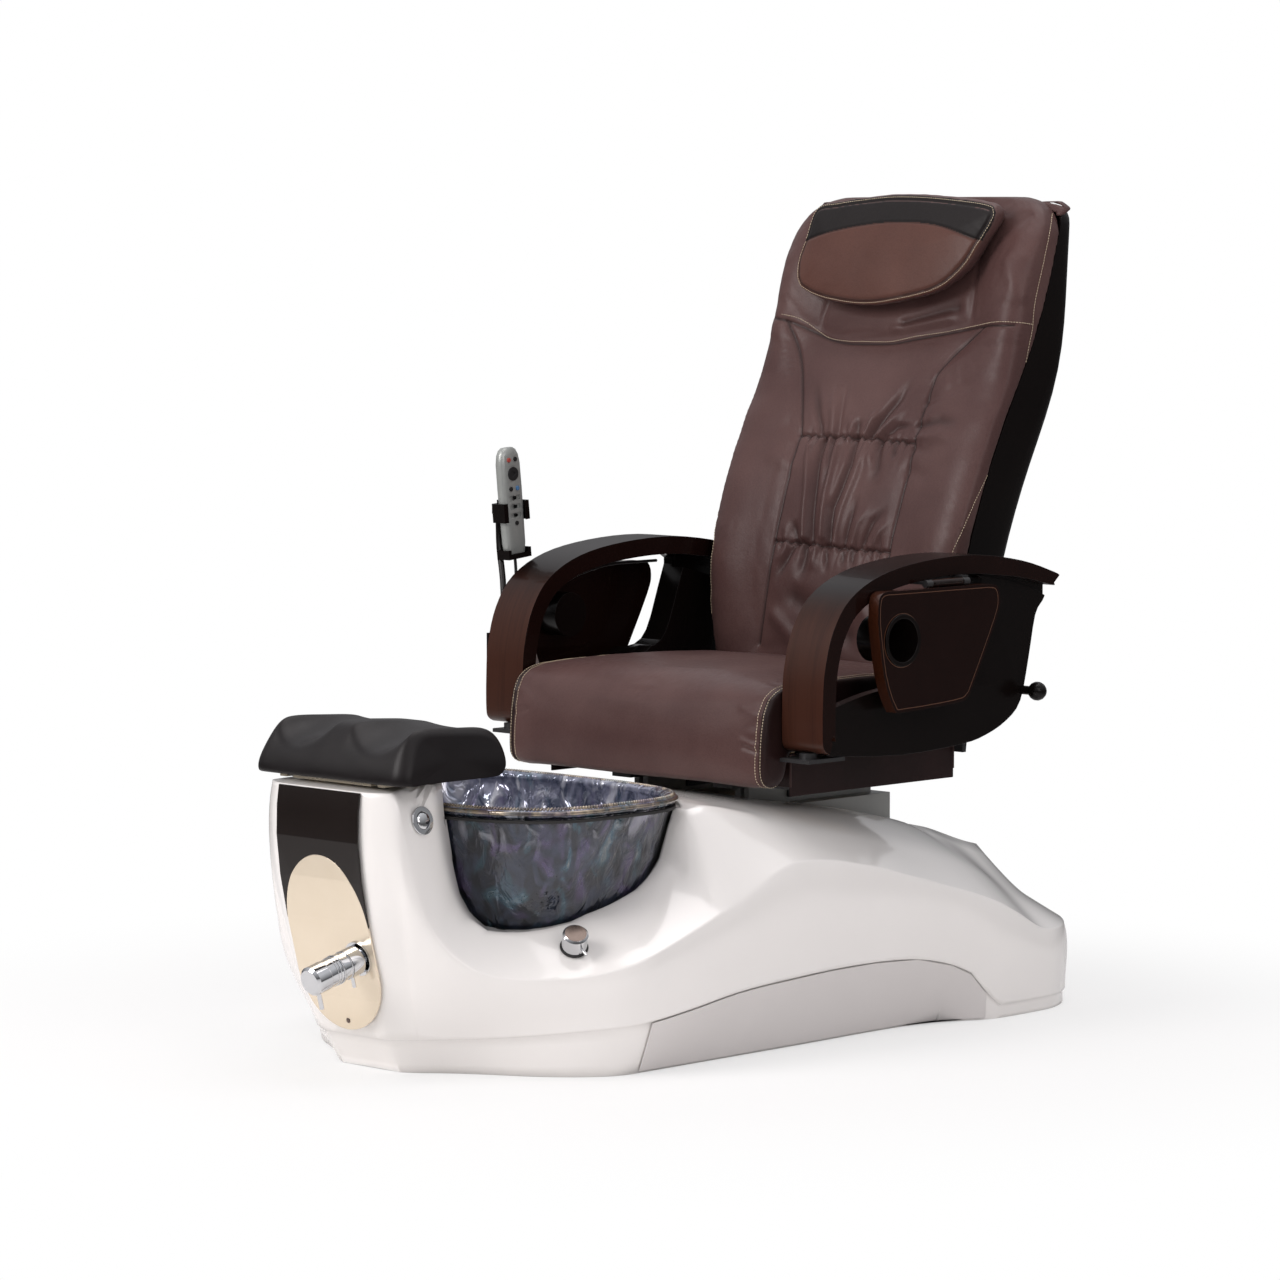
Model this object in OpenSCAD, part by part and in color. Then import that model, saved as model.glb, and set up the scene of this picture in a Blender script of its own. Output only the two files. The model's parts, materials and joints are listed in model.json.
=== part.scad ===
// Pedicure spa chair: plumbed foot-bath base, reclining massage seat, lift-up arms.
// X is across the chair, -Y is the way the sitter faces, Z is up from the floor.
// The origin is on the floor under the middle of the base.

/* [Base] */
// Height of the flat top of the front pedestal
pedestal_h = 430; // [420:1:440]
// Wall thickness of the moulded base shell
shell_wall = 12; // [9:1:14]
// Thickness of the floor pan
pan_t = 5; // [3:1:8]
// Thickness of the side access panels
access_t = 4; // [3:0.5:6]
// Thickness of the front plates
plate_t = 3; // [2:0.5:4]
// Width of the front plates
plate_w = 176; // [160:2:190]
// Radius of the arch between the two front plates
arch_r = 150; // [130:5:170]

/* [Bowl] */
// Half width of the bowl at its rim
bowl_hw = 280; // [270:1:286]
// Half length of the bowl at its rim
bowl_hl = 192; // [184:1:198]
// Depth of the bowl's rim bead below the pedestal's top
bowl_drop = 42; // [38:1:46]
// Wall thickness of the glass
bowl_wall = 6; // [5:0.5:8]
// Radius of the bead round the rim
bead_r = 9; // [7:0.5:10]
// Radius of the drain's tail pipe
drain_r = 22; // [18:1:26]
// Radius of the jet cover
jet_r = 40; // [36:1:44]

/* [Controls] */
// Radius of the mixer valve's body
valve_r = 22; // [19:0.5:25]
// Length of the mixer valve in front of the plate
valve_len = 100; // [90:1:110]
// Radius of the air button's bezel
button_r = 21; // [18:0.5:24]
// Travel of the air button
button_travel = 4; // [3:0.5:5]
// Radius of the drain knob
knob_r = 19; // [17:0.5:22]
// Height of the drain knob
knob_h = 28; // [24:1:34]

/* [Footrest] */
// Width of the footrest pad
footrest_w = 330; // [310:2:340]
// Depth of the footrest pad
footrest_d = 222; // [210:2:230]
// Height of the footrest pad
footrest_h = 84; // [76:1:92]
// Height of the footrest sled
sled_h = 6; // [5:0.5:8]

/* [Seat] */
// Half width of the seat cushion
seat_hw = 279; // [270:1:280]
// Height of the top of the seat cushion
seat_top = 546; // [535:1:556]
// Depth of the seat cushion
seat_d = 414; // [400:1:418]
// Height of the seat frame's underside
frame_z = 381; // [380:1:386]
// Depth of the seat frame's rails
frame_h = 44; // [40:1:48]
// Thickness of the seat board
board_t = 14; // [12:1:18]
// Drop of the leather apron round the seat box
skirt_drop = 66; // [60:1:70]

/* [Back] */
// Half width of the backrest at the shoulders
back_hw = 264; // [256:1:266]
// Height of the backrest's top edge
back_top = 1286; // [1270:1:1300]
// Thickness of the back cushion
back_t = 38; // [34:1:42]
// Wall thickness of the back shell
back_wall = 5; // [4:0.5:7]
// Half width of the pillow
pillow_hw = 210; // [195:1:220]
// Thickness of the pillow
pillow_t = 58; // [50:1:64]
// Radius of the recline shaft
shaft_r = 10; // [8:0.5:12]
// Radius of the massage rollers
roller_r = 28; // [24:1:30]

/* [Arms] */
// Width of each wooden arm
arm_w = 84; // [76:1:84]
// Thickness of the bent wood band
arm_t = 29; // [25:1:32]
// Thickness of each side tray
tray_t = 20; // [16:1:22]
// Radius of the cup hole
cup_r = 38; // [35:1:40]
// Depth of the cup holder
cup_depth = 42; // [36:1:46]
// Radius of the arm's pivot stub
stub_r = 8; // [6:0.5:9]

/* [Remote] */
// Length of the remote
remote_l = 176; // [165:1:185]
// Width of the remote
remote_w = 46; // [42:1:50]
// Thickness of the remote
remote_t = 22; // [19:1:25]
// Diameter of the remote's cord
cord_d = 5; // [4:0.5:6]

/* [Hidden] */

gap = 0.3;          // clearance between pieces that only rest on each other
fit = 0.05;         // radial clearance of a running fit
white = "#f3f1f0";
leather = "#5d4743";
wood = "#351f1b";
black = "#1b1a1b";
foam = "#2b292a";
chrome = "#c9ccd0";
steel = "#8f9397";
champagne = "#e2d6be";
glass = "#46505f";
silver = "#a3a6a4";

// ---- shape helpers ------------------------------------------------------

function clamp01(t) = max(0, min(1, t));
function place(t, x, i = 0) = (i >= len(t) - 2 || x < t[i + 1][0]) ? i : place(t, x, i + 1);
function rise(t, i) = (t[i + 1][1] - t[i][1]) / (t[i + 1][0] - t[i][0]);
function tangent(t, i) = (i <= 0) ? rise(t, 0)
    : (i >= len(t) - 1) ? rise(t, len(t) - 2)
    : (rise(t, i - 1) * rise(t, i) <= 0) ? 0
    : 2 * rise(t, i - 1) * rise(t, i) / (rise(t, i - 1) + rise(t, i));
// Smooth curve through the points [x, value] of a table, with no overshoot
function curve(t, x) = let(
    i = place(t, x),
    h = t[i + 1][0] - t[i][0],
    u = clamp01((x - t[i][0]) / h))
    (2 * u ^ 3 - 3 * u ^ 2 + 1) * t[i][1] + (u ^ 3 - 2 * u ^ 2 + u) * h * tangent(t, i)
    + (3 * u ^ 2 - 2 * u ^ 3) * t[i + 1][1] + (u ^ 3 - u ^ 2) * h * tangent(t, i + 1);
function mix(a, b, t) = a + (b - a) * t;
function flip(p) = [-p[0], p[1], p[2]];
// Smooth run of points through the corners of an open outline
function bend(c, n) = [for (i = [0 : len(c) - 2], k = [0 : n - 1]) let(
    t = k / n,
    a = c[max(i - 1, 0)], b = c[i], d = c[i + 1], e = c[min(i + 2, len(c) - 1)])
    0.5 * (2 * b + (d - a) * t + (2 * a - 5 * b + 4 * d - e) * t ^ 2
        + (3 * b - a - 3 * d + e) * t ^ 3)];
function mean(ring) = [for (a = [0 : 2]) [for (p = ring) p[a]] * [for (p = ring) 1] / len(ring)];
// Closed skin over a stack of rings of equal length, closed by a fan at each end
module loft(rings) {
    n = len(rings[0]);
    m = len(rings);
    ends = [mean(rings[0]), mean(rings[m - 1])];
    walls = [for (k = [0 : m - 2], i = [0 : n - 1]) let(j = (i + 1) % n)
        each [[k * n + i, k * n + j, k * n + n + j], [k * n + i, k * n + n + j, k * n + n + i]]];
    low = [for (i = [0 : n - 1]) [m * n, (i + 1) % n, i]];
    high = [for (i = [0 : n - 1]) [m * n + 1, (m - 1) * n + i, (m - 1) * n + (i + 1) % n]];
    polyhedron([for (r = rings) each r, each ends], concat(walls, low, high), 10);
}
// Superellipse ring at height z
function oval(a, b, y, z, e, n) = [for (i = [0 : n - 1]) let(t = -360 * i / n)
    [a * sign(cos(t)) * abs(cos(t)) ^ (2 / e), y + b * sign(sin(t)) * abs(sin(t)) ^ (2 / e), z]];
// Solid with the side outline [y, z] drawn from x0 to x1
module slab(outline, x0, x1) {
    translate([x0, 0, 0]) rotate([90, 0, 90]) linear_extrude(x1 - x0) polygon(outline);
}
module across(r, x0, x1, y, z, n = 32) {
    translate([x0, y, z]) rotate([0, 90, 0]) cylinder(r = r, h = x1 - x0, $fn = n);
}
module block(lo, hi) { translate(lo) cube(hi - lo); }
module pair() { children(); mirror([1, 0, 0]) children(); }

// ---- base shell ---------------------------------------------------------

// The shell is a loft over stations round its edge. Stations 0 to 90 turn about the front
// pivot, 90 to 181 run straight back, and 181 to 271 turn about the rear pivot.
nose_y = -350;
tail_y = 560;
step_y = 10;
tail_s = 90 + (tail_y - nose_y) / step_y;
function at_y(y) = 90 + (y - nose_y) / step_y;
function spot(s, r, z) = (s < 90) ? [r * sin(s), nose_y - r * cos(s), z]
    : (s <= tail_s) ? [r, nose_y + (s - 90) * step_y, z]
    : [r * cos(s - tail_s), tail_y + r * sin(s - tail_s), z];
stations = [0, 6, 11, 16, 20, 24, 26, 27.2, 29, 31.8, 33.1, 35.5, 38.5, 43, 50, 58, 67, 76, 84, 90,
    92, 95, 99, 102, 104.2, 105.6, 107, 110, 114, 118, 122, 130, 140, 150, 158, 162, 165, 168, 173, 178,
    181, 186, 191, 197, 204, 211, 218, 227, 239, 253, 271];
// Radius at the floor, at the toe ledge, at the flank crease, at the shoulder and on top
floor_r = [[0, 250], [8, 252.5], [16, 260], [22, 256], [32, 245], [45, 238], [60, 252], [75, 288],
    [90, 322], [130, 320], [146, 315], [157, 321], [161, 343], [166, 369], [170, 373], [181, 368], [189, 353],
    [197, 332], [207, 305], [217, 283], [231, 236], [251, 200], [271, 188]];
ledge_r = [[0, 258], [8, 260.5], [16, 268.4], [22, 265], [32, 254], [45, 248], [60, 264], [75, 302],
    [90, 350], [100, 358], [150, 359], [161, 362], [166, 370], [170, 373], [181, 368], [189, 353],
    [197, 332], [207, 305], [217, 283], [231, 236], [251, 200], [271, 188]];
ledge_z = [[0, 52], [45, 56], [60, 61], [75, 69], [90, 79], [100, 92], [112, 108], [125, 115],
    [135, 119], [147, 117], [155, 104], [161, 84], [164, 60], [166, 30], [168, 22], [271, 22]];
crease_r = [[0, 315], [8, 318], [16, 327.7], [21, 325], [26, 320], [28, 315], [31, 308], [35, 301],
    [40, 296], [46, 291], [54, 287], [61, 292], [75, 316], [84, 347], [90, 363], [104, 367],
    [150, 370], [170, 372], [181, 366], [189, 350], [197, 329], [207, 302], [217, 280], [231, 233],
    [251, 197], [271, 185]];
crease_z = [[0, 424], [24, 424], [26, 402], [27.2, 345], [30.3, 275], [34.2, 222], [39.3, 188],
    [46, 162], [54, 150], [61, 148], [75, 150], [84, 163], [90, 178], [100, 212], [110, 248],
    [116, 278], [122, 293], [131, 284], [141, 262], [151, 233], [161, 206], [168, 182], [173, 159],
    [178, 131], [181, 127], [271, 127]];
shoulder_r = [[0, 247], [31.8, 247], [38.5, 241], [50, 242], [60, 237], [84, 237], [98, 252],
    [104, 265], [106, 272], [112, 285], [122, 292], [150, 290], [161, 283], [173, 278], [181, 268],
    [200, 238], [217, 206], [231, 183], [271, 160]];
shoulder_z = [[0, 430], [31.8, 430], [33.1, 377], [35.5, 312], [38.5, 264], [43, 236], [50, 215],
    [60, 210], [84, 221], [98, 254], [104.2, 300], [105.6, 346], [107, 372], [110, 378], [116, 364],
    [122, 350], [131, 335], [141, 318], [151, 297], [161, 274], [173, 229], [178, 199], [181, 188],
    [200, 172], [271, 160]];
brow_r = [[0, 200], [90, 190], [105, 200], [114, 225], [124, 222], [161, 200], [181, 178],
    [217, 158], [271, 132]];
ridge_z = [[107, 382], [110, 386], [114, 385], [124, 373], [137, 356], [150, 337], [161, 314],
    [170, 291], [178, 266], [181, 257], [226, 246], [271, 236]];
core_r = 60;
bulge = 18.6;    // swell of the flank between ledge and crease where it is tallest
flat_s = 16;     // the front is flat across up to this station
flank_t = [0.16, 0.32, 0.48, 0.64, 0.8, 0.92];

drawn_h = 430;   // the tables above are drawn for this pedestal height
lift = pedestal_h - drawn_h;
// Height z at station s once the pedestal's top is moved; behind the bowl nothing moves
function lifted(z, s) = z + lift * clamp01((z - 300) / (drawn_h - 306)) * (1 - clamp01((s - 98) / 6));
function top_z(s) = (s < 107) ? curve(shoulder_z, s) : curve(ridge_z, s);
function reach(t, s) = (s <= flat_s) ? t[0][1] / cos(s) : curve(t, s);
function level(t, s) = (s <= flat_s) ? t[0][1] : curve(t, s);
function crease(s) = [reach(crease_r, s), level(crease_z, s)];
function ledge(s) = [reach(ledge_r, s), level(ledge_z, s)];
function swell(t) = 7 * t * t * (1 - t);
function shoulder(s) = [curve(shoulder_r, s), curve(shoulder_z, s)];
function fall(s) = (s < 107) ? 0 : (s > tail_s) ? 4 + 26 * (s - tail_s) / 90 : 4;
function flank(s, t) = mix(ledge(s), crease(s), t)
    + [bulge * swell(t) * (crease(s)[1] - ledge(s)[1]) / 372 / cos(min(s, flat_s)), 0];
// Swell of the band between crease and shoulder at the pedestal's sides
side_swell = [[18, 0], [26, 12], [27.2, 20], [29, 13], [31.8, -6], [33.1, -5], [36, 0]];
function side(s, t) = mix(crease(s), shoulder(s), t) + [curve(side_swell, s) * 4 * t * (1 - t), 0];
// Half section at a station, from the floor edge up to the top
function rib(s) = [
    [reach(floor_r, s) - access_t - gap, 0],
    ledge(s) - [access_t + gap, 1],
    ledge(s),
    for (t = flank_t) flank(s, t),
    crease(s),
    side(s, 0.1),
    side(s, 0.35),
    side(s, 0.68),
    shoulder(s),
    [curve(brow_r, s), top_z(s) - fall(s)],
    [core_r, top_z(s)]];
// Half section of the hollow inside, held in from the outside by the wall
function low_z(t, s) = min(curve(t, s - 2.5), curve(t, s), curve(t, s + 2.5));
function inner_top(s) = min(top_z(s), top_z(s - 2.5), top_z(s + 2.5));
function hollow_rib(s, w) = [
    [reach(floor_r, s) - access_t - w, -1],
    ledge(s) - [access_t + w, 0],
    flank(s, 0.5) - [w, 0],
    [curve(crease_r, s) - w, low_z(crease_z, s) - w / 2],
    [curve(shoulder_r, s) - w, low_z(shoulder_z, s) - w],
    [curve(brow_r, s) - w, inner_top(s) - w - fall(s)],
    [core_r, inner_top(s) - w]];
// Closed body over half sections mirrored left and right
module hull_body(ribs) {
    n = len(ribs);
    m = 2 * n - 2;
    k = len(ribs[0]);
    right = [for (j = [0 : k - 1]) [for (i = [0 : n - 1])
        spot(stations[i], ribs[i][j][0], lifted(ribs[i][j][1], stations[i]))]];
    rings = [for (r = right) concat(r, [for (i = [n - 2 : -1 : 1]) flip(r[i])])];
    walls = [for (j = [0 : k - 2], i = [0 : m - 1]) let(q = (i + 1) % m, a = j * m, b = a + m)
        each (i < n - 1) ? [[a + i, b + q, a + q], [a + i, b + i, b + q]]
            : [[a + i, b + i, a + q], [a + q, b + i, b + q]]];
    low = lid(n, 0, true);
    high = lid(n, (k - 1) * m, false);
    polyhedron([for (r = rings) each r], concat(walls, low, high), 12);
}
// Triangles across a mirrored ring, rung by rung
function lid(n, o, down) = let(m = 2 * n - 2, t = concat([[0, 1, m - 1]],
    [for (i = [1 : n - 3]) each [[i, i + 1, m - i - 1], [i, m - i - 1, m - i]]],
    [[n - 2, n - 1, n]]))
    [for (f = t) down ? [o + f[0], o + f[1], o + f[2]] : [o + f[0], o + f[2], o + f[1]]];

// The bowl and the well that it hangs in share one profile: share of the rim size by height
bowl_z = pedestal_h - bowl_drop;
bowl_y = -322;
bowl_floor = 150;
bowl_e = 3.2;
bowl_n = 40;
bowl_share = [[0, 0.40], [6, 0.50], [22, 0.63], [50, 0.75], [90, 0.85], [150, 0.93], [200, 0.975],
    [238, 1]];
bowl_levels = [0, 6, 22, 50, 90, 150, 200];
function bowl_ring(h, off) = let(s = curve(bowl_share, h * 238 / (bowl_z - bowl_floor)))
    oval(bowl_hw * s + off, bowl_hl * s + off, bowl_y, bowl_floor + h, bowl_e, bowl_n);
function bowl_side(off) = [for (h = bowl_levels) bowl_ring(h, off)];
seat_step = bead_r + 5;      // the rim's rebate is this far below the bead's centre
well_gap = 4;
module well(off, top, drop) {
    low = [for (p = bowl_ring(0, off)) [p[0], p[1], bowl_floor - drop]];
    high = oval(bowl_hw + off, bowl_hl + off, bowl_y, top, bowl_e, bowl_n);
    loft(concat([low], bowl_side(off), [high]));
}
rebate_z = bowl_z - seat_step;

// Flat land sunk in the ridge for the seat plinth
land = [[-150, 110], [150, 416]];
land_z = 296;

// Front face of the pedestal, leaning like a bow
bow = [for (p = [ledge(0), for (t = flank_t) flank(0, t), crease(0)]) [lifted(p[1], 0), nose_y - p[0]]];
function bow_y(z) = lookup(z, bow);

// Places of the fittings on the shell
button_at = [137.1, -592.7, lifted(380.6, 20)];
button_turn = [0, 77.8, 3.1];
drain_knob_at = [267, -409.4, 188.8];
drain_knob_turn = [0, 40.6, -37.6];
valve_z = 176;
valve_at = [54, bow_y(valve_z) - gap - plate_t, valve_z];
valve_dip = 14.6;
drain_y = -372;
jet_y = -276;
jet_neck_r = 14;

module on_button() { translate(button_at) rotate(button_turn) children(); }
module on_drain_knob() { translate(drain_knob_at) rotate(drain_knob_turn) children(); }
module on_valve() { translate(valve_at) rotate([90 + valve_dip, 0, 0]) children(); }

button_hole_r = button_r - 5;
knob_stem_r = 6;
valve_stem_r = 12;
panel_edge = 3;
panel_from = 92;
panel_to = 165;

module base_shell() {
    color(white) difference() {
        hull_body([for (s = stations) rib(s)]);
        difference() {
            hull_body([for (s = stations) hollow_rib(s, shell_wall)]);
            well(well_gap + shell_wall, pedestal_h + 20, shell_wall + well_gap);
            block([land[0][0] - shell_wall, land[0][1] - shell_wall, land_z - shell_wall],
                [land[1][0] + shell_wall, land[1][1] + shell_wall, pedestal_h]);
        }
        well(well_gap, rebate_z + 1, well_gap);
        rim_space(well_gap + bead_r);
        block([land[0][0] - gap, land[0][1] - gap, land_z],
            [land[1][0] + gap, land[1][1] + gap, pedestal_h]);
        for (y = [drain_y, jet_y]) translate([0, y, 100])
            cylinder(r = (y == drain_y ? drain_r : jet_neck_r) + 2, h = 80, $fn = 48);
        on_button() translate([0, 0, -60]) cylinder(r = button_hole_r, h = 80, $fn = 48);
        on_drain_knob() translate([0, 0, -60]) cylinder(r = knob_stem_r + 1, h = 80, $fn = 32);
        on_valve() translate([0, 0, -70]) cylinder(r = valve_stem_r + 2, h = 90, $fn = 48);
    }
}
module rim_space(off) {
    a = bowl_hw + off;
    b = bowl_hl + off;
    loft([for (z = [rebate_z, pedestal_h + 30]) oval(a, b, bowl_y, z, bowl_e, bowl_n)]);
}

// Steel pan that closes the underside and carries the plumbing
pan_in = 1;
function pan_point(s) = spot(s, reach(floor_r, s) - access_t - shell_wall - pan_in, 0);
module floor_pan() {
    right = [for (s = stations) [pan_point(s)[0], pan_point(s)[1]]];
    left = [for (i = [len(right) - 2 : -1 : 1]) [-right[i][0], right[i][1]]];
    color(steel) {
        linear_extrude(pan_t) polygon(concat(right, left));
        // upstands that carry the bowl's well and the seat's land
        pair() for (y = [bowl_y - 50, bowl_y + 50])
            block([64, y - 4, pan_t], [120, y + 4, bowl_floor - shell_wall - well_gap - gap]);
        for (y = [land[0][1] + 20, land[1][1] - 20])
            block([-120, y - 4, pan_t], [120, y + 4, land_z - shell_wall - gap]);
    }
}

// Curved panel that closes the recess under the flank
module access_panel() {
    places = [for (s = stations) if (s >= panel_from && s <= panel_to) s];
    rise_t = [0, 0.35, 0.7, 1];
    foot = 3;
    color(white) loft([for (s = places) let(
        top = curve(ledge_z, s) - panel_edge,
        rr = [for (t = rise_t)
            mix(curve(floor_r, s), curve(ledge_r, s), mix(foot, top, t) / curve(ledge_z, s))])
        concat([for (i = [0 : 3]) spot(s, rr[i] - 0.2, mix(foot, top, rise_t[i]))],
            [for (i = [3 : -1 : 0]) spot(s, rr[i] - access_t + 1, mix(foot, top, rise_t[i]))])]);
}

// ---- front plates -------------------------------------------------------

plate_top = pedestal_h - 7;
plate_low = 62;
arch_z = 326;
module plate_sheet() {
    zs = concat([plate_low - 4],
        [for (b = bow) if (b[0] > plate_low && b[0] < plate_top) b[0]], [plate_top]);
    outer = [for (z = zs) [bow_y(z) - gap - plate_t, z]];
    inner = [for (i = [len(outer) - 1 : -1 : 0]) outer[i] + [plate_t, 0]];
    slab(concat(outer, inner), -plate_w / 2, plate_w / 2);
}
// Outline drawn as seen from the front, carried back through the plate
module front_cut() { rotate([90, 0, 0]) linear_extrude(900) children(); }
module plate_outline(inset) {
    w = plate_w / 2 - inset;
    translate([0, plate_low + w]) circle(w, $fn = 64);
    translate([-w, plate_low + w]) square([2 * w, plate_top - plate_low - w]);
}
module arch_outline(extra) {
    intersection() {
        translate([0, arch_z - arch_r * 0.75]) oval_outline(plate_w / 2 + extra, arch_r * 0.75 + extra);
        translate([-plate_w, 0]) square([2 * plate_w, 2 * pedestal_h]);
    }
    translate([-plate_w / 2 - extra, 0]) square([plate_w + 2 * extra, arch_z - arch_r * 0.75]);
}
module oval_outline(a, b) {
    polygon([for (i = [0 : 71]) [a * cos(5 * i), b * sin(5 * i)]]);
}
module plate_upper() {
    color(black) difference() {
        intersection() { plate_sheet(); front_cut() plate_outline(0); }
        front_cut() arch_outline(0.4);
    }
}
module plate_lower() {
    color(champagne) difference() {
        intersection() { plate_sheet(); front_cut() plate_outline(0); front_cut() arch_outline(0); }
        on_valve() translate([0, 0, -30]) cylinder(r = valve_stem_r + 1, h = 60, $fn = 48);
    }
}

// ---- bowl ---------------------------------------------------------------

module bowl() {
    outside = bowl_side(0);
    bead = concat([oval(bowl_hw, bowl_hl, bowl_y, rebate_z - 2, bowl_e, bowl_n)],
        [for (a = [-90 : 40 : 230]) oval(bowl_hw + bead_r * cos(a), bowl_hl + bead_r * cos(a),
        bowl_y, bowl_z + bead_r * sin(a), bowl_e, bowl_n)]);
    inside = [for (i = [len(bowl_levels) - 1 : -1 : 1])
        bowl_ring(bowl_levels[i] + (i == 1 ? 2 : 0), -bowl_wall)];
    color(glass, 0.8) difference() {
        loft(concat(outside, bead, inside));
        for (y = [drain_y, jet_y]) translate([0, y, bowl_floor - 5])
            cylinder(r = (y == drain_y ? drain_r : jet_neck_r) + gap, h = 30, $fn = 48);
    }
}
module bowl_gasket() {
    low = rebate_z + gap;
    high = bowl_z - bead_r - gap;
    color(black) difference() {
        gasket_ring([low, high], bead_r * 0.8);
        gasket_ring([low - 1, high + 1], 0.4);
    }
}
module gasket_ring(levels, off) {
    loft([for (z = levels) oval(bowl_hw + off, bowl_hl + off, bowl_y, z, bowl_e, bowl_n)]);
}
floor_in = bowl_floor + 8;   // top of the glass floor inside the bowl
flange_r = 34;
flange_t = 2.5;
stem_r = 4;
stopper_r = 25;
stopper_lift = 10;
module drain_fitting() {
    color(chrome) translate([0, drain_y, 0]) difference() {
        union() {
            translate([0, 0, 70]) cylinder(r = drain_r, h = floor_in + flange_t - 70, $fn = 48);
            translate([0, 0, floor_in + gap]) cylinder(r = flange_r, h = flange_t, $fn = 64);
        }
        translate([0, 0, 69]) cylinder(r = drain_r - 3, h = 45, $fn = 48);
        translate([0, 0, 118]) cylinder(r = drain_r - 3, h = 60, $fn = 48);
        translate([0, 0, 60]) cylinder(r = stem_r + fit, h = 80, $fn = 32);
        for (a = [0 : 60 : 300]) rotate(a) translate([11, 0, 100]) cylinder(r = 3.5, h = 30, $fn = 24);
    }
}
module drain_stopper() {
    z = floor_in + gap + flange_t;
    color(chrome) translate([0, drain_y, 0]) {
        translate([0, 0, z + gap]) cylinder(r = stopper_r, h = 3, $fn = 48);
        translate([0, 0, z + gap + 3]) cylinder(r1 = stopper_r, r2 = 10, h = 4, $fn = 48);
        translate([0, 0, 108]) cylinder(r = stem_r, h = z - 107, $fn = 32);
    }
}
module jet_motor() {
    color(black) translate([0, jet_y, 0]) difference() {
        union() {
            translate([0, 0, pan_t + gap]) cylinder(r = 38, h = 70, $fn = 48);
            translate([0, 0, 75])
                cylinder(r = 45, h = bowl_floor - shell_wall - well_gap - gap - 75, $fn = 48);
            translate([0, 0, 100]) cylinder(r = jet_neck_r, h = floor_in + gap - 100, $fn = 48);
        }
        translate([0, 0, 110]) cylinder(r = 5 + fit, h = 80, $fn = 32);
    }
}
module jet_impeller() {
    color(silver) translate([0, jet_y, 0]) {
        translate([0, 0, 112]) cylinder(r = 5, h = floor_in + 4 - 112, $fn = 32);
        translate([0, 0, floor_in + 2]) cylinder(r = 12, h = 3, $fn = 32);
        for (a = [0 : 60 : 300]) rotate(a) translate([6, -1, floor_in + 4]) cube([jet_r - 16, 2, 8]);
    }
}
module jet_cover() {
    z = floor_in + gap;
    color(silver) translate([0, jet_y, 0]) difference() {
        translate([0, 0, z]) cylinder(r1 = jet_r, r2 = jet_r - 5, h = 20, $fn = 48);
        translate([0, 0, z - 1]) cylinder(r = jet_r - 6, h = 17, $fn = 48);
        for (a = [0 : 30 : 330]) rotate(a) translate([12, -2, z + 10]) cube([jet_r - 24, 4, 20]);
        translate([0, 0, z]) cylinder(r = 4, h = 30, $fn = 24);
    }
}

// ---- controls -----------------------------------------------------------

ring_len = 22;
ring_at = 8;
lever_len = 26;
module valve_body() {
    r = valve_r;
    color(chrome) on_valve() difference() {
        union() {
            translate([0, 0, gap]) cylinder(r = r + 4, h = 3.5, $fn = 64);
            translate([0, 0, -50]) cylinder(r = valve_stem_r, h = 50 + ring_at, $fn = 48);
            translate([0, 0, gap]) cylinder(r = r - 8, h = valve_len - lever_len - gap, $fn = 48);
            translate([0, 0, ring_at + ring_len + gap])
                cylinder(r = r - 1, h = valve_len - lever_len - ring_at - ring_len - 2 * gap, $fn = 64);
            translate([0, 0, ring_at + ring_len + 14]) cylinder(r = r, h = 3, $fn = 64);
        }
        translate([0, 0, valve_len - lever_len - 20]) cylinder(r = 6 + fit, h = 40, $fn = 32);
    }
    color(black) on_valve() translate([-28, -28, -95]) cube([56, 56, 46]);
}
module valve_ring() {
    color(chrome) on_valve() difference() {
        union() {
            translate([0, 0, ring_at]) cylinder(r = valve_r, h = ring_len, $fn = 64);
            translate([0, 0, ring_at + ring_len / 2]) rotate([90, 0, 0])
                translate([0, 0, valve_r - 4]) cylinder(r = 3, h = 20, $fn = 24);
        }
        translate([0, 0, ring_at - 1]) cylinder(r = valve_r - 8 + fit, h = ring_len + 2, $fn = 48);
    }
}
module valve_lever() {
    color(chrome) on_valve() translate([0, 0, valve_len - lever_len]) {
        cylinder(r = valve_r, h = lever_len - 4, $fn = 64);
        translate([0, 0, lever_len - 4]) cylinder(r1 = valve_r, r2 = valve_r - 4, h = 4, $fn = 64);
        translate([0, 0, -18]) cylinder(r = 6, h = 18, $fn = 32);
        translate([0, 0, lever_len / 2]) rotate([90, 0, 0])
            translate([0, 0, valve_r - 4]) cylinder(r = 3.5, h = 28, $fn = 24);
    }
}
bezel_lip = 3;
bezel_base = 1.7;      // height at which the lip clears the swell of the shell
module button_bezel() {
    color(chrome) on_button() difference() {
        union() {
            translate([0, 0, bezel_base]) cylinder(r = button_r, h = bezel_lip, $fn = 64);
            translate([0, 0, -34]) cylinder(r = button_hole_r - 0.2, h = 35 + bezel_base, $fn = 48);
        }
        translate([0, 0, -30]) cylinder(r = button_hole_r - 3, h = 60, $fn = 48);
    }
}
module air_button() {
    color(chrome) on_button() {
        translate([0, 0, -22]) cylinder(r = button_hole_r - 3 - fit, h = 22 + bezel_base + 4, $fn = 48);
        translate([0, 0, bezel_base + 4])
            cylinder(r1 = button_hole_r - 3 - fit, r2 = button_hole_r - 7, h = 2, $fn = 48);
    }
}
flange_base = 1.4;
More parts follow.
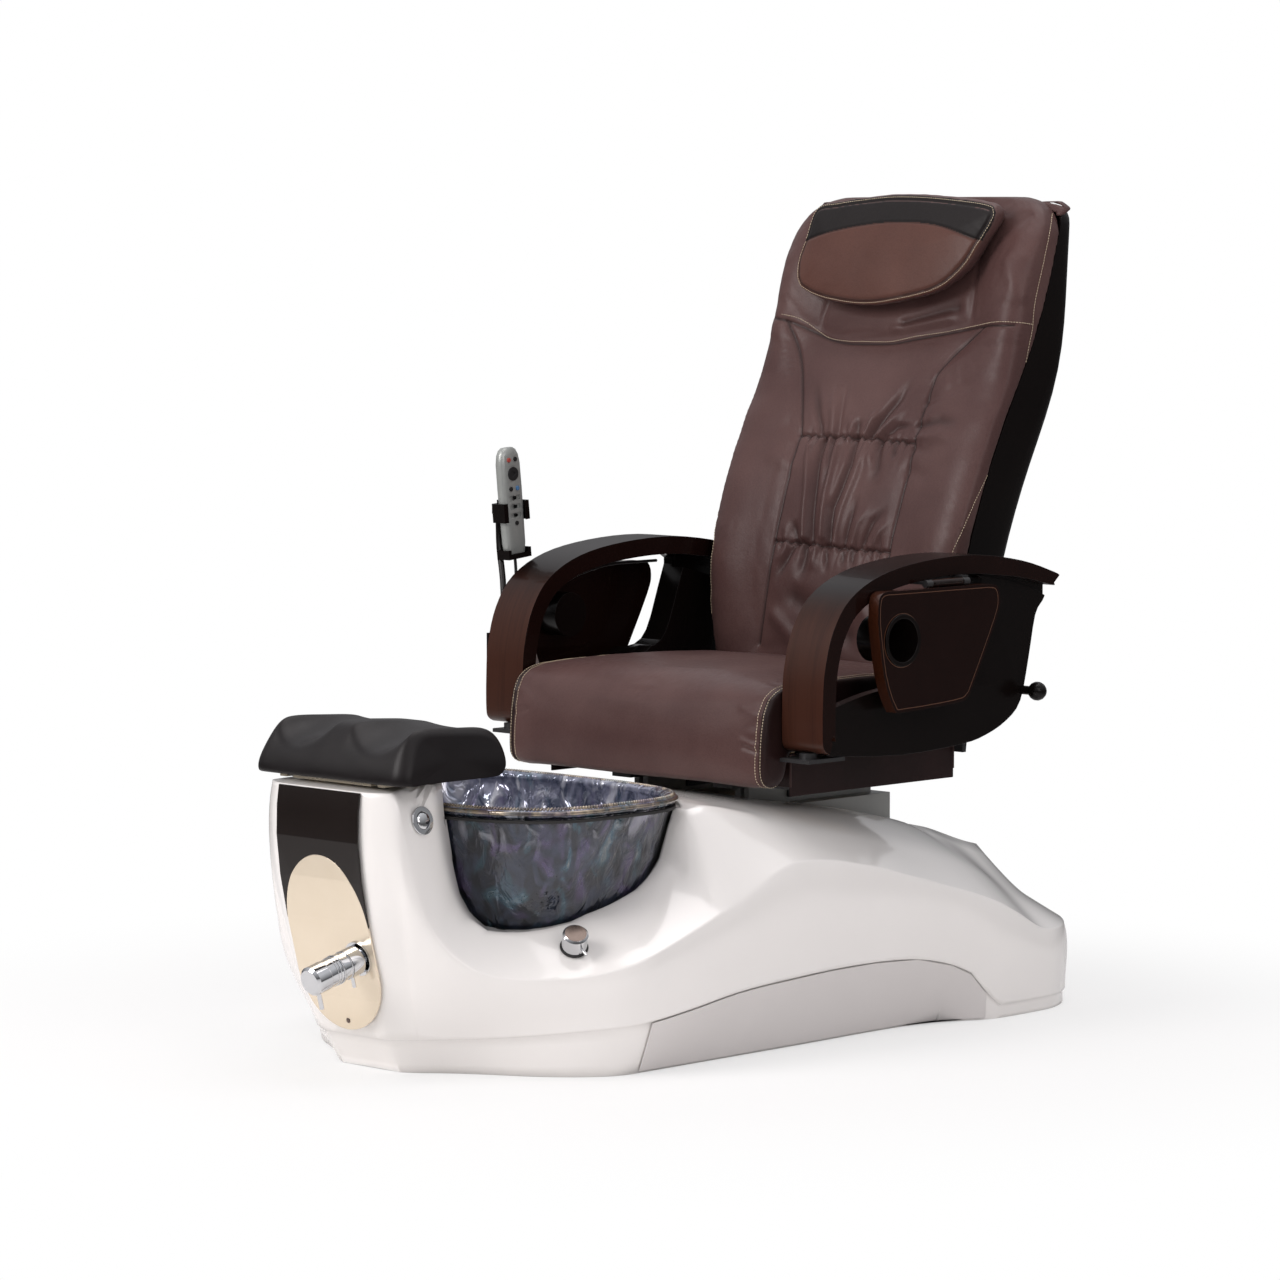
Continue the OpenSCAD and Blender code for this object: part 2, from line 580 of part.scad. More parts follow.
module drain_knob_flange() {
    color(black) on_drain_knob() difference() {
        union() {
            translate([0, 0, flange_base]) cylinder(r = knob_r + 2, h = 3, $fn = 48);
            translate([0, 0, -30]) cylinder(r = knob_stem_r + 0.8, h = 31 + flange_base, $fn = 32);
        }
        translate([0, 0, -20]) cylinder(r = knob_stem_r - 2 + fit, h = 60, $fn = 32);
    }
}
module drain_knob() {
    color(chrome) on_drain_knob() {
        translate([0, 0, flange_base + 3 + gap]) cylinder(r = knob_r, h = knob_h - 3, $fn = 64);
        translate([0, 0, flange_base + gap + knob_h]) cylinder(r1 = knob_r, r2 = knob_r - 3, h = 3, $fn = 64);
        translate([0, 0, -18]) cylinder(r = knob_stem_r - 2, h = 27, $fn = 32);
        translate([0, 0, 14]) rotate([0, 90, -20]) cylinder(r = 2.5, h = knob_r + 11, $fn = 24);
    }
}

// ---- footrest -----------------------------------------------------------

rail_w = 14;
rail_h = 5;
rail_x = 92;
sled_z = pedestal_h + 1;
foot_front = -655;
foot_z = sled_z + sled_h + gap;
module footrest_rails() {
    color(steel) pair() block([rail_x - rail_w / 2, -632, pedestal_h + gap],
        [rail_x + rail_w / 2, -540, pedestal_h + rail_h]);
}
module footrest_sled() {
    color(champagne) difference() {
        block([-rail_x - 22, foot_front + 12, sled_z],
            [rail_x + 22, foot_front + footrest_d - 60, foot_z - gap]);
        pair() block([rail_x - rail_w / 2 - 0.4, foot_front, pedestal_h],
            [rail_x + rail_w / 2 + 0.4, -400, pedestal_h + rail_h + 0.6]);
    }
}
// Height of the pad at x, with two scoops and a ridge between
function scoop(x) = let(u = abs(x) / (footrest_w / 2))
    curve([[0, 0.86], [0.12, 0.82], [0.45, 0.62], [0.78, 0.80], [0.9, 0.92], [1, 0.90]], u) * footrest_h;
function lip(x) = let(u = abs(x) / (footrest_w / 2))
    curve([[0, 0.96], [0.45, 0.86], [0.85, 1], [1, 0.97]], u) * footrest_h;
function pad_ring(x, k) = let(
    y0 = foot_front + 14 * k,
    y1 = foot_front + footrest_d - 18 * k,
    z = foot_z,
    s = scoop(x) * (1 - 0.12 * k),
    l = lip(x) * (1 - 0.08 * k))
    [[x, y0 + 22, z], [x, y0 + 4, z + 4], [x, y0, z + 14], [x, y0 + 16, z + s * 0.45],
     [x, y0 + 34, z + s * 0.72], [x, y0 + 52, z + s * 0.92], [x, mix(y0, y1, 0.40), z + s],
     [x, mix(y0, y1, 0.58), z + mix(s, l, 0.45)], [x, mix(y0, y1, 0.74), z + l],
     [x, mix(y0, y1, 0.86), z + l * 0.97], [x, y1 - 10, z + l * 0.80], [x, y1, z + l * 0.45],
     [x, y1 - 3, z + 12], [x, y1 - 24, z]];
module footrest_pad() {
    w = footrest_w / 2;
    half = [[1, 1.4], [0.96, 0.5], [0.88, 0.1], [0.78, 0], [0.62, 0], [0.45, 0], [0.28, 0], [0.12, 0]];
    marks = concat([for (i = [0 : 7]) [-half[i][0], half[i][1]]], [[0, 0]], [for (i = [7 : -1 : 0]) half[i]]);
    color(foam) loft([for (m = marks) pad_ring(m[0] * w, m[1])]);
}

// ---- seat ---------------------------------------------------------------

track_x = 110;
track_w = 30;
track_top = 372;
plinth_top = 341;
plinth_wall = 6;
runner_wall = 5;
seat_front = -8;
rail_t = 10;
skirt_x = 258;
skirt_t = 3;
apron = [62, 441];
frame_top = frame_z + frame_h;
board_z = frame_top + gap;
cushion_z = board_z + board_t + gap;
module seat_plinth() {
    lo = [land[0][0], land[0][1], land_z + gap];
    hi = [land[1][0], land[1][1], plinth_top];
    color(silver) difference() {
        block(lo, hi);
        block(lo + [plinth_wall, plinth_wall, -1], hi - [plinth_wall, plinth_wall, plinth_wall]);
        for (x = [-40, 40], y = [180, 340]) translate([x, y, 320]) cylinder(r = 20, h = 40, $fn = 48);
    }
    color(steel) pair() difference() {
        block([track_x - track_w / 2, land[0][1] + 4, plinth_top - 1],
            [track_x + track_w / 2, land[1][1] - 18, track_top]);
        block([track_x - 4, land[0][1], plinth_top + 8], [track_x + 4, land[1][1], track_top + 1]);
    }
}
cheek_in = 271;
cheek_t = 8;
hinge_y = 452;
hinge_z = 470;
pivot_y = 508;
pivot_z = 511;
arm_out = 366;
arm_in = arm_out - arm_w;
shell_x0 = 300;
shell_x1 = 346;
stop_y = 35;
stop_x = 322;
stop_z = 437;
frame_hw = skirt_x - 3;
cheek = [[442, 412], [450, 412], [454, 442], [480, 452], [522, 492], [530, 512], [516, 530], [498, 530],
    [438, 492], [436, 446], [442, 440]];
module seat_frame() {
    color(black) difference() {
        union() {
            for (y = [apron[0] + 6, apron[1] - skirt_t - 24])
                block([-frame_hw, y, frame_z], [frame_hw, y + rail_t, frame_top]);
            pair() {
                block([frame_hw - rail_t, apron[0] + 6, frame_z],
                    [frame_hw, apron[1] - skirt_t - 16, frame_top]);
                block([track_x - track_w / 2 - runner_wall - 0.5, apron[0] + 8, track_top + 0.5],
                    [track_x + track_w / 2 + runner_wall + 0.5, apron[1] - skirt_t - 16, frame_z + 8]);
                for (e = [-1, 1]) translate([track_x + e * (track_w / 2 + 0.5 + runner_wall / 2), 0, 0])
                    block([-runner_wall / 2, 200, plinth_top + 8], [runner_wall / 2, 390, track_top + 1]);
                slab(cheek, cheek_in, cheek_in + cheek_t);
                block([cheek_in - 40, apron[1] + 1, 412], [cheek_in + 1, apron[1] + 9, frame_top]);
                block([cheek_in - 40, apron[1] - skirt_t - 30, 412],
                    [cheek_in - 30, apron[1] + 9, frame_top]);
                across(stub_r + 6, cheek_in + cheek_t, shell_x0 - 1, pivot_y, pivot_z);
                across(stub_r, shell_x0 - 1, shell_x1 - 3, pivot_y, pivot_z);
                block([frame_hw - 30, 76, frame_top - 20], [frame_hw, 94, stop_z]);
                block([frame_hw - 30, 76, stop_z - 6], [shell_x1 - 2, 94, stop_z]);
                block([arm_in + 2, stop_y - 22, stop_z - 6], [shell_x1 - 2, 94, stop_z]);
                translate([stop_x, stop_y, stop_z - 1])
                    cylinder(r = 13, h = 446 - gap - stop_z + 1, $fn = 48);
            }
        }
        pair() across(shaft_r + fit, cheek_in - 1, cheek_in + cheek_t + 1, hinge_y, hinge_z, 48);
    }
}
module seat_board() {
    color("#8a6f52") difference() {
        block([-skirt_x + gap, apron[0] + skirt_t + gap, board_z],
            [skirt_x - gap, apron[1] - skirt_t - 22, board_z + board_t]);
        pair() block([frame_hw - 30 - gap, 76 - gap, board_z - 1],
            [skirt_x + 1, 94 + gap, board_z + board_t + 1]);
        for (x = [-150, -50, 50, 150], y = [140, 240, 340]) translate([x, y, board_z - 1])
            cylinder(r = 9, h = board_t + 2, $fn = 32);
    }
}
// Leather apron round the seat box; the front and rear panels hang less far than the sides
module seat_skirt() {
    top = board_z + board_t - 2;
    low = top - skirt_drop;
    color(leather) difference() {
        union() {
            pair() block([skirt_x, apron[0], low], [skirt_x + skirt_t, apron[1], top]);
            block([-skirt_x - 1, apron[0], low + 14], [skirt_x + 1, apron[0] + skirt_t, top]);
            block([-skirt_x - 1, apron[1] - skirt_t, low + 14], [skirt_x + 1, apron[1], top]);
        }
        pair() {
            block([0, 76 - gap, stop_z - 6 - gap], [400, 94 + gap, stop_z + 30]);
            block([cheek_in - 41, apron[1] - 40, 412 - gap],
                [cheek_in - 29, apron[1] + 9, frame_top + 30]);
        }
    }
}
// Side outline of the seat cushion, swollen by c on top and drawn in by d at the edges
function seat_ring(x, c, d) = let(
    f = seat_front + d, r = seat_front + seat_d - d, lo = cushion_z, t = seat_top - 6 + c - d, e = d * 0.6)
    [[x, r - 6, lo + e], [x, r, lo + 10 + e], [x, r + 1, t - 40], [x, r - 6, t - 14], [x, r - 26, t - 2],
     [x, r - 110, t + 2 + c * 0.4], [x, mix(f, r, 0.45), t + 3 + c * 0.6], [x, f + 100, t + 2 + c * 0.4],
     [x, f + 56, t - 2], [x, f + 30, t - 10], [x, f + 12, t - 26], [x, f + 2, t - 48], [x, f - 7, t - 82],
     [x, f - 11, lo - 4], [x, f - 10, lo - 26], [x, f - 4, lo - 42 + e], [x, f + 6, lo - 50 + e],
     [x, f + 20, lo - 52 + e], [x, f + 34, lo - 46 + e], [x, f + 44, lo - 28 + e], [x, f + 50, lo + e]];
module seat_cushion() {
    w = seat_hw;
    half = [[1, 0, 16], [0.985, 0, 6], [0.955, 0, 1], [0.91, 0, 1], [0.90, 0, 3.5], [0.89, 0, 0.5],
        [0.7, 3, 0], [0.4, 6, 0]];
    rows = concat(half, [[0, 8, 0]], [for (i = [len(half) - 1 : -1 : 0]) flip(half[i])]);
    color(leather) loft([for (r = rows) seat_ring(r[0] * w, r[1], r[2])]);
}

// ---- recline drive ------------------------------------------------------

motor_r = 24;
motor_hw = 70;
foot_low = 412;
module recline_motor() {
    color(black) difference() {
        union() {
            across(motor_r, -motor_hw, motor_hw - 30, hinge_y, hinge_z, 64);
            across(motor_r - 5, motor_hw - 31, motor_hw, hinge_y, hinge_z, 64);
            block([-motor_hw + 6, hinge_y - 6, foot_low + 14],
                [motor_hw - 40, hinge_y + 10, hinge_z - 12]);
            block([-motor_hw + 6, apron[1] + gap, foot_low],
                [motor_hw - 40, hinge_y + 10, foot_low + 18]);
        }
        across(shaft_r + fit, -motor_hw - 1, motor_hw + 1, hinge_y, hinge_z, 48);
    }
}

// ---- back ---------------------------------------------------------------

// Front face of the backrest on the centre line, y by height
back_line = [[480, 413], [542, 415], [640, 419], [724, 434], [810, 461], [898, 498], [990, 550],
    [1078, 597], [1180, 634], [1284, 664]];
back_share = [[490, 0.86], [540, 0.90], [640, 0.95], [760, 0.985], [900, 1], [1200, 1],
    [1290, 0.985]];
back_low = 480;
drawn_top = 1286;    // the tables above are drawn for a back of this height
back_grow = (back_top - back_low) / (drawn_top - back_low);
function drawn(z) = back_low + (z - back_low) / back_grow;
function up(z) = back_low + (z - back_low) * back_grow;
function face_y(z) = curve(back_line, drawn(z));
function half_w(z) = back_hw * curve(back_share, drawn(z));
edge_drop = 20;
// Level ring of the cushion at height z, pulled in by d
function back_ring(z, d) = let(w = half_w(z) - d, f = face_y(z) + d * 0.7, b = face_y(z) + back_t - d * 0.3)
    concat([[w - 3, b, z], [w, b - 6, z]],
        [for (i = [10 : -1 : -10]) let(u = i / 10)
            [w * sign(u) * abs(u) ^ 0.8, f + edge_drop * abs(u) ^ 4.5 * 0.9, z]],
        [[-w, b - 6, z], [-w + 3, b, z]]);
module back_cushion() {
    zs = concat([[496, 8], [500, 3], [520, 0]], [for (z = [570 : 60 : 1230]) [up(z), 0]],
        [[back_top - 18, 1], [back_top - 7, 5], [back_top, 13]]);
    color(leather) loft([for (z = zs) back_ring(z[0], z[1])]);
}
side_depth = [[500, 94], [717, 98], [852, 104], [950, 108], [1010, 96], [1075, 74], [1150, 50], [1221, 34],
    [1290, 22]];
dome = 34;
// Level ring of the back shell at height z, drawn in by off, its open front moved by fwd
function shell_ring(z, off, fwd) = let(w = half_w(z) + 3 - off, f = face_y(z) + back_t + 2 * gap - fwd,
    b = face_y(z) + back_t + curve(side_depth, drawn(z)) - off)
    concat([[-w, f, z], [-w, b - 16, z]],
        [for (i = [-9 : 9]) let(u = i / 9)
            [w * 0.985 * sign(u) * abs(u) ^ 0.9, b + dome * (1 - abs(u) ^ 2.4) * 0.9 - 2, z]],
        [[w, b - 16, z], [w, f, z]]);
shell_low = 512;
module back_shell() {
    levels = [for (z = [560 : 75 : 1240]) up(z)];
    tops = [[back_top - 34, 0], [back_top - 20, 4], [back_top - 12, 11]];
    color(black) difference() {
        loft(concat([for (z = concat([shell_low], levels)) shell_ring(z, 0, 0)],
            [for (t = tops) shell_ring(t[0], t[1], 0)]));
        loft(concat([for (z = concat([shell_low - 1], levels)) shell_ring(z, back_wall, 30)],
            [shell_ring(back_top - 36, back_wall, 30), shell_ring(back_top - 26, back_wall + 6, 30)]));
    }
}
// Steel frame of the back: shaft, lever, two side rails and cross bars
rail_side = 232;
rail_bar = 8;
bar_r = 7;
rail_back = 61;
rail_gap = 1.6;
rod_x = 130;
massage_back = 92;     // the rods stand this far behind the cushion's face
massage_lo = [0, face_y(up(790)) + massage_back, up(790)];
massage_hi = [0, face_y(up(1084)) + massage_back, up(1084)];
massage_dir = (massage_hi - massage_lo) / norm(massage_hi - massage_lo);
massage_tilt = atan2(massage_dir[1], massage_dir[2]);
function back_rail(z0, z1) = concat(
    [for (z = [z0 : 30 : z1]) [face_y(z) + back_t + rail_gap, z]],
    [for (i = [floor((z1 - z0) / 30) : -1 : 0]) [face_y(z0 + 30 * i) + back_t + rail_back, z0 + 30 * i]]);
module back_frame() {
    foot = [[face_y(540) + back_t + rail_gap, 540], [face_y(540) + back_t + rail_back, 540],
        [hinge_y + 26, hinge_z + 2], [hinge_y + 8, hinge_z - 13], [hinge_y - 8, hinge_z - 13],
        [hinge_y - 13, hinge_z + 6],
        [hinge_y, hinge_z + 20], [face_y(500) + back_t + rail_gap, hinge_z + 24]];
    color(steel) {
        across(shaft_r, -cheek_in - cheek_t, cheek_in + cheek_t, hinge_y, hinge_z, 48);
        pair() {
            slab(back_rail(540, up(1110)), rail_side - 12 - rail_bar, rail_side - 12);
            slab(foot, rail_side - 12 - rail_bar, rail_side - 12);
            translate([rod_x, massage_lo[1], massage_lo[2]]) rotate([-massage_tilt, 0, 0])
                cylinder(r = bar_r, h = norm(massage_hi - massage_lo), $fn = 32);
        }
        bar_hw = rail_side - 12 - rail_bar / 2;
        for (p = [massage_lo, massage_hi]) across(bar_r, -bar_hw, bar_hw, p[1], p[2]);
    }
}
module on_massage(t) { translate(massage_lo + massage_dir * t) rotate([-massage_tilt, 0, 0]) children(); }
carriage_at = 150;
carriage_h = 96;
roller_gap = 52;
roller_fwd = 14;
module massage_carriage() {
    color(black) on_massage(carriage_at) difference() {
        union() {
            block([-rod_x - 16, -13, -18], [rod_x + 16, 13, 18]);
            block([-38, -13, -carriage_h / 2], [38, 13, carriage_h / 2]);
            pair() block([rod_x - 16, -13, -carriage_h / 2], [rod_x + 16, 13, carriage_h / 2]);
            block([-34, 10, -40], [34, 26, 40]);
            for (x = [-30, 30]) block([x - 5, -roller_fwd - 8, -roller_gap - 8],
                [x + 5, -roller_fwd + 8, roller_gap + 8]);
        }
        pair() translate([rod_x, 0, -carriage_h]) cylinder(r = bar_r + fit, h = 2 * carriage_h, $fn = 48);
        for (z = [-roller_gap, roller_gap]) across(5 + fit, -60, 60, -roller_fwd - 1, z, 32);
    }
}
module roller_pair(z) {
    color(silver) on_massage(carriage_at) {
        across(5, -70, 70, -roller_fwd - 1, z, 32);
        for (x = [-58, 58]) across(roller_r, x - 12, x + 12, -roller_fwd - 1, z, 48);
    }
}
module rollers_upper() { roller_pair(roller_gap); }
module rollers_lower() { roller_pair(-roller_gap); }

// Half-moon pillow that hangs on the front of the backrest
pillow_z0 = back_top - 174;
pillow_z1 = back_top + 6;
function pillow_ring(t) = let(
    z = mix(pillow_z0, pillow_z1, t),
    w = pillow_hw * (t < 0.55 ? (1 - (1 - t / 0.55) ^ 2.6) ^ 0.5
        : (1 - ((t - 0.55) / 0.45) ^ 3.4 * 0.55)),
    e = sin(180 * clamp01(0.04 + 0.92 * t)) ^ 0.35,
    b = min(face_y(z), face_y(back_top - 4)) - gap,
    n = 9)
    concat([for (i = [-n : n]) let(u = i / n)
            [w * u, b - 1.2 + edge_drop * 0.9 * (abs(u) * w / half_w(z)) ^ 5, z]],
        [for (i = [n : -1 : -n]) let(u = i / n)
            [w * u * 0.999, b - 6 - (pillow_t - 6) * e * (1 - abs(u) ^ 4) ^ 0.5, z]]);
module pillow() {
    color("#55383a")
        loft([for (t = [0.02, 0.06, 0.14, 0.25, 0.38, 0.52, 0.66, 0.8, 0.9, 0.96, 1]) pillow_ring(t)]);
}

// ---- arms ---------------------------------------------------------------

arm_outer = [[36, 446], [25, 452], [20, 466], [20, 520], [24, 572], [42, 630], [80, 678], [150, 711],
    [250, 728], [368, 732], [480, 718], [560, 696], [574, 689]];
function normal2(a, b) = let(d = b - a) [d[1], -d[0]] / norm(d);
arm_curve = bend(arm_outer, 4);
function taper(i, n) = i < 4 ? 0.45 + 0.55 * i / 4 : i > n - 10 ? 1 - 0.45 * (i - n + 10) / 10 : 1;
module arm() {
    n = len(arm_curve);
    inner = [for (i = [n - 1 : -1 : 0]) let(a = arm_curve[max(i - 1, 0)], b = arm_curve[min(i + 1, n - 1)])
        arm_curve[i] + normal2(a, b) * arm_t * taper(i, n)];
    color(wood) slab(concat(arm_curve, inner), arm_in, arm_out);
}
side_outline = concat(
    [[49.6, 508], [49.6, 468]],
    bend([[50, 460], [53, 446], [64, 440], [219, 430], [360, 436], [419, 446], [470, 466], [503, 495],
        [522, 560], [538, 628], [556, 650], [562, 660]], 3),
    [[540, 668], [470, 686.5], [400, 698], [373, 701], [366, 684], [352, 620]],
    bend([[340, 590], [322, 564], [290, 548], [240, 540], [150, 530], [80, 516], [49.6, 508]], 3));
side_core = concat(
    bend([[62, 492], [60, 470], [70, 456], [219, 446], [400, 458], [470, 490], [500, 540], [518, 628]], 3),
    [[520, 650], [400, 680], [386, 676], [368, 600]],
    bend([[352, 570], [322, 546], [240, 524], [80, 500]], 3));
module side_shell() {
    color(black) difference() {
        union() {
            slab(side_outline, shell_x1 - 18, shell_x1);
            slab(side_core, shell_x0, shell_x1 - 17);
        }
        across(stub_r + fit, shell_x0 - 1, shell_x1 - 2, pivot_y, pivot_z, 48);
        across(4.1, shell_x1 - 4, shell_x1 + 2, pivot_y, pivot_z, 32);
        slab([[90, 478], [380, 478], [452, 508], [484, 628], [420, 640], [400, 560], [300, 506],
            [90, 496]], shell_x0 + 8, shell_x1 - 6);
    }
}
lock_r = 15;
module lock_knob() {
    color(black) {
        across(7, shell_x1 + gap, shell_x1 + 22, pivot_y, pivot_z);
        across(4, shell_x1 - 1.9, shell_x1 + 2, pivot_y, pivot_z);
        translate([shell_x1 + 30, pivot_y, pivot_z]) rotate([0, 90, 0]) rotate_extrude($fn = 48)
            polygon(concat([[0, -12]], [for (a = [-50 : 20 : 70]) [lock_r * cos(a), lock_r * sin(a)]],
                [[0, lock_r * sin(70)]]));
    }
}
hinge_x = arm_out + 13;
tray_hinge_z = 694;
tray_x0 = arm_out + 3;
tray_top = tray_hinge_z - 6.5;
hinge_span = [236, 336];
pin_r = 3;
knuckle_r = 6;
arm_under = [for (i = [20 : len(arm_curve) - 2]) let(a = arm_curve[i - 1], b = arm_curve[i + 1])
    arm_curve[i] + normal2(a, b) * arm_t * taper(i, len(arm_curve))];
leaf_t = 4;
function leaf_row(y0, y1, down, order) = [for (i = order) let(y = mix(y0, y1, i / 4))
    [y, lookup(y, arm_under) - gap - down]];
function leaf_line(y0, y1) = concat(leaf_row(y0, y1, 0, [0 : 4]), leaf_row(y0, y1, leaf_t, [4 : -1 : 0]));
// Round bar on the tray's hinge line, short of the span by cut at each end
module hinge_rod(r, cut) {
    translate([hinge_x, hinge_span[0] + cut, tray_hinge_z]) rotate([-90, 0, 0])
        cylinder(r = r, h = hinge_span[1] - hinge_span[0] - 2 * cut, $fn = 32);
}
module tray_bracket() {
    color(steel) {
        slab(leaf_line(hinge_span[0], hinge_span[1]), arm_out - 30, arm_out - 6);
        for (y = [hinge_span[0], hinge_span[1] - 14]) {
            translate([hinge_x, y, tray_hinge_z]) rotate([-90, 0, 0])
                cylinder(r = knuckle_r, h = 14, $fn = 32);
            slab(leaf_line(y, y + 14), arm_out - 7, hinge_x + 1);
        }
        hinge_rod(pin_r, 1);
    }
}
cup_y = 173;
cup_z = 612;
tray_outline = concat(
    bend([[118, 640], [120, 676], [134, tray_top], [160, tray_top]], 3),
    bend([[372, tray_top], [394, tray_top - 4], [402, 662], [392, 630], [340, 535], [326, 516],
        [300, 508], [180, 502], [156, 508], [132, 560], [118, 640]], 3));
module tray() {
    color(wood) difference() {
        union() {
            slab(tray_outline, tray_x0, tray_x0 + tray_t);
            hinge_rod(knuckle_r, 14.5);
            block([hinge_x - 4, hinge_span[0] + 14.5, tray_top - 2],
                [hinge_x + 4, hinge_span[1] - 14.5, tray_hinge_z - 1]);
        }
        across(cup_r - 2, tray_x0 - 1, tray_x0 + tray_t + 1, cup_y, cup_z, 64);
        hinge_rod(pin_r + fit, 10);
    }
}
module cup() {
    r = cup_r - 2.2;
    x1 = tray_x0 + tray_t + gap;
    color(black) difference() {
        union() {
            across(r, x1 - cup_depth - tray_t, x1 + 1, cup_y, cup_z, 64);
            across(cup_r + 2, x1, x1 + 2.5, cup_y, cup_z, 64);
        }
        across(r - 2.5, x1 - cup_depth - tray_t + 2.5, x1 + 5, cup_y, cup_z, 64);
    }
}

module arm_left() { arm(); }
module side_shell_left() { side_shell(); }
module tray_bracket_left() { tray_bracket(); }
module tray_left() { tray(); }
module cup_left() { cup(); }
module lock_knob_left() { lock_knob(); }
module arm_right() { mirror([1, 0, 0]) arm(); }
module side_shell_right() { mirror([1, 0, 0]) side_shell(); }
module tray_bracket_right() { mirror([1, 0, 0]) tray_bracket(); }
module tray_right() { mirror([1, 0, 0]) tray(); }
module cup_right() { mirror([1, 0, 0]) cup(); }
module lock_knob_right() { mirror([1, 0, 0]) lock_knob(); }

// ---- remote -------------------------------------------------------------

remote_x = -arm_out - 17;
remote_at = [remote_x, 101, 708];
remote_lean = -6;
module on_remote() { translate(remote_at) rotate([-remote_lean, 0, 0]) children(); }
function remote_ring(z, w, t) = oval(t / 2, w / 2, 0, z, 3, 20);
module remote() {
    w = remote_w;
    t = remote_t;
    color(silver) difference() {
        on_remote() loft([for (p = [[0, 0.72, 0.7], [6, 0.86, 0.85], [20, 0.93, 1], [60, 0.96, 1],
            [110, 1, 1], [remote_l - 26, 0.98, 1], [remote_l - 12, 0.88, 0.92], [remote_l - 4, 0.70, 0.8],
            [remote_l, 0.46, 0.6]])
            remote_ring(p[0], w * p[1], t * p[2])]);
        for (k = [0 : len(key_rows) - 1]) key_well(k);
    }
    color(silver) for (k = rockers) on_key(k) rocker_pin(rocker_pin_r, key_r + 1);
}
post = [[remote_x - 22, 84, 792], [remote_x - 22, 86, 760], [remote_x - 18, 84, 720],
    [remote_x - 4, 78, 670], [remote_x + 6, 70, 620], [remote_x + 8, 64, 585], [remote_x + 8, 62, 560]];
// Tube of radius r along a run of points
function unit(v) = v / norm(v);
function tube_ring(pts, i, r, n) = let(
    d = unit(pts[min(i + 1, len(pts) - 1)] - pts[max(i - 1, 0)]),
    u = unit(cross(d, abs(d[2]) > 0.9 ? [1, 0, 0] : [0, 0, 1])),
    v = cross(d, u))
    [for (k = [0 : n - 1]) pts[i] + r * (cos(360 * k / n) * u - sin(360 * k / n) * v)];
module tube(pts, r, n) { loft([for (i = [0 : len(pts) - 1]) tube_ring(pts, i, r, n)]); }
// Keys on the face that looks across the chair: [name, y, z, radius, kind]
key_rows = [["power", -7, 157], ["mode", 7, 157], ["pad", 0, 134], ["back", -7, 110], ["seat", 7, 110],
    ["a", 0, 95], ["b", 0, 81], ["c", 0, 67], ["single", 0, 54]];
key_r = 3.6;
key_face = remote_t / 2;
key_sink = 3.4;
rockers = [5, 6, 7];
rocker_pin_r = 0.7;
function key_at(k) = [key_rows[k][1], key_rows[k][2]];
module on_key(k) {
    on_remote() translate([key_face, key_at(k)[0], key_at(k)[1]]) rotate([0, 90, 0]) children();
}
// Pin along the middle of a rocker key, which turns on it
module rocker_pin(r, half) {
    translate([-half, 0, 1.2 - key_sink / 2]) rotate([0, 90, 0]) cylinder(r = r, h = 2 * half, $fn = 24);
}
module key_well(k) {
    on_key(k) translate([0, 0, -key_sink]) if (k == 2) cylinder(r = 11 + gap, h = 9, $fn = 32);
    else if (k > 4 && k < 8)
        translate([-key_r - gap, -11 - gap, 0]) cube([2 * (key_r + gap), 2 * (11 + gap), 9]);
    else cylinder(r = key_r + gap, h = 9, $fn = 24);
}
module key(k, paint) {
    color(paint) if (k > 4 && k < 8) on_key(k) difference() {
        translate([-key_r, -11, -key_sink + 1.2]) cube([2 * key_r, 22, key_sink]);
        rocker_pin(rocker_pin_r + fit, key_r + 1);
    }
    else on_key(k) translate([0, 0, -key_sink + 1.2]) if (k == 2) difference() {
        cylinder(r = 11, h = key_sink, $fn = 32);
        translate([0, 0, key_sink - 1]) cylinder(r = 4, h = 2, $fn = 24);
    }
    else cylinder(r = key_r, h = key_sink, $fn = 24);
}
module key_power() { key(0, "#a8342f"); }
module key_mode() { key(1, black); }
module key_pad() { key(2, "#d8d8d6"); }
module key_back() { key(3, black); }
module key_seat() { key(4, "#3a6ea5"); }
module key_air() { key(5, "#d8d8d6"); }
module key_roll() { key(6, "#d8d8d6"); }
module key_heat() { key(7, "#d8d8d6"); }
module key_stop() { key(8, black); }
module remote_holder() {
    w = remote_w / 2;
    color(black) {
        on_remote() difference() {
            union() {
                block([-remote_t / 2 - 8.4, -12, -4], [-remote_t / 2 - 1, 12, 92]);
                block([-remote_t / 2 - 4, -w - 5, 57], [remote_t / 2 + 2.2, w + 5, 88]);
                block([-remote_t / 2 - 4, -w - 2, -3.5], [remote_t / 2 + 2.2, w + 2, 12]);
            }
            block([-remote_t / 2 - 0.6, -w - 0.6, -1], [remote_t / 2 + 0.6, w + 0.6, 100]);
            block([0, -w + 4, 5], [remote_t, w - 4, 100]);
            translate([0, 0, -10]) cylinder(r = cord_d / 2 + 2, h = 12, $fn = 24);
        }
        tube(concat(bend(post, 3), [post[len(post) - 1]]), 5, 10);
        block([remote_x - 27, 76, 776], [remote_x - remote_t / 2 - 4, 94, 792]);
        block([-arm_out - 26, 52, 548], [-arm_out - gap, 72, 578]);
        block([-arm_out - 5, 26, 540], [-arm_out - gap, 60, 588]);
    }
}
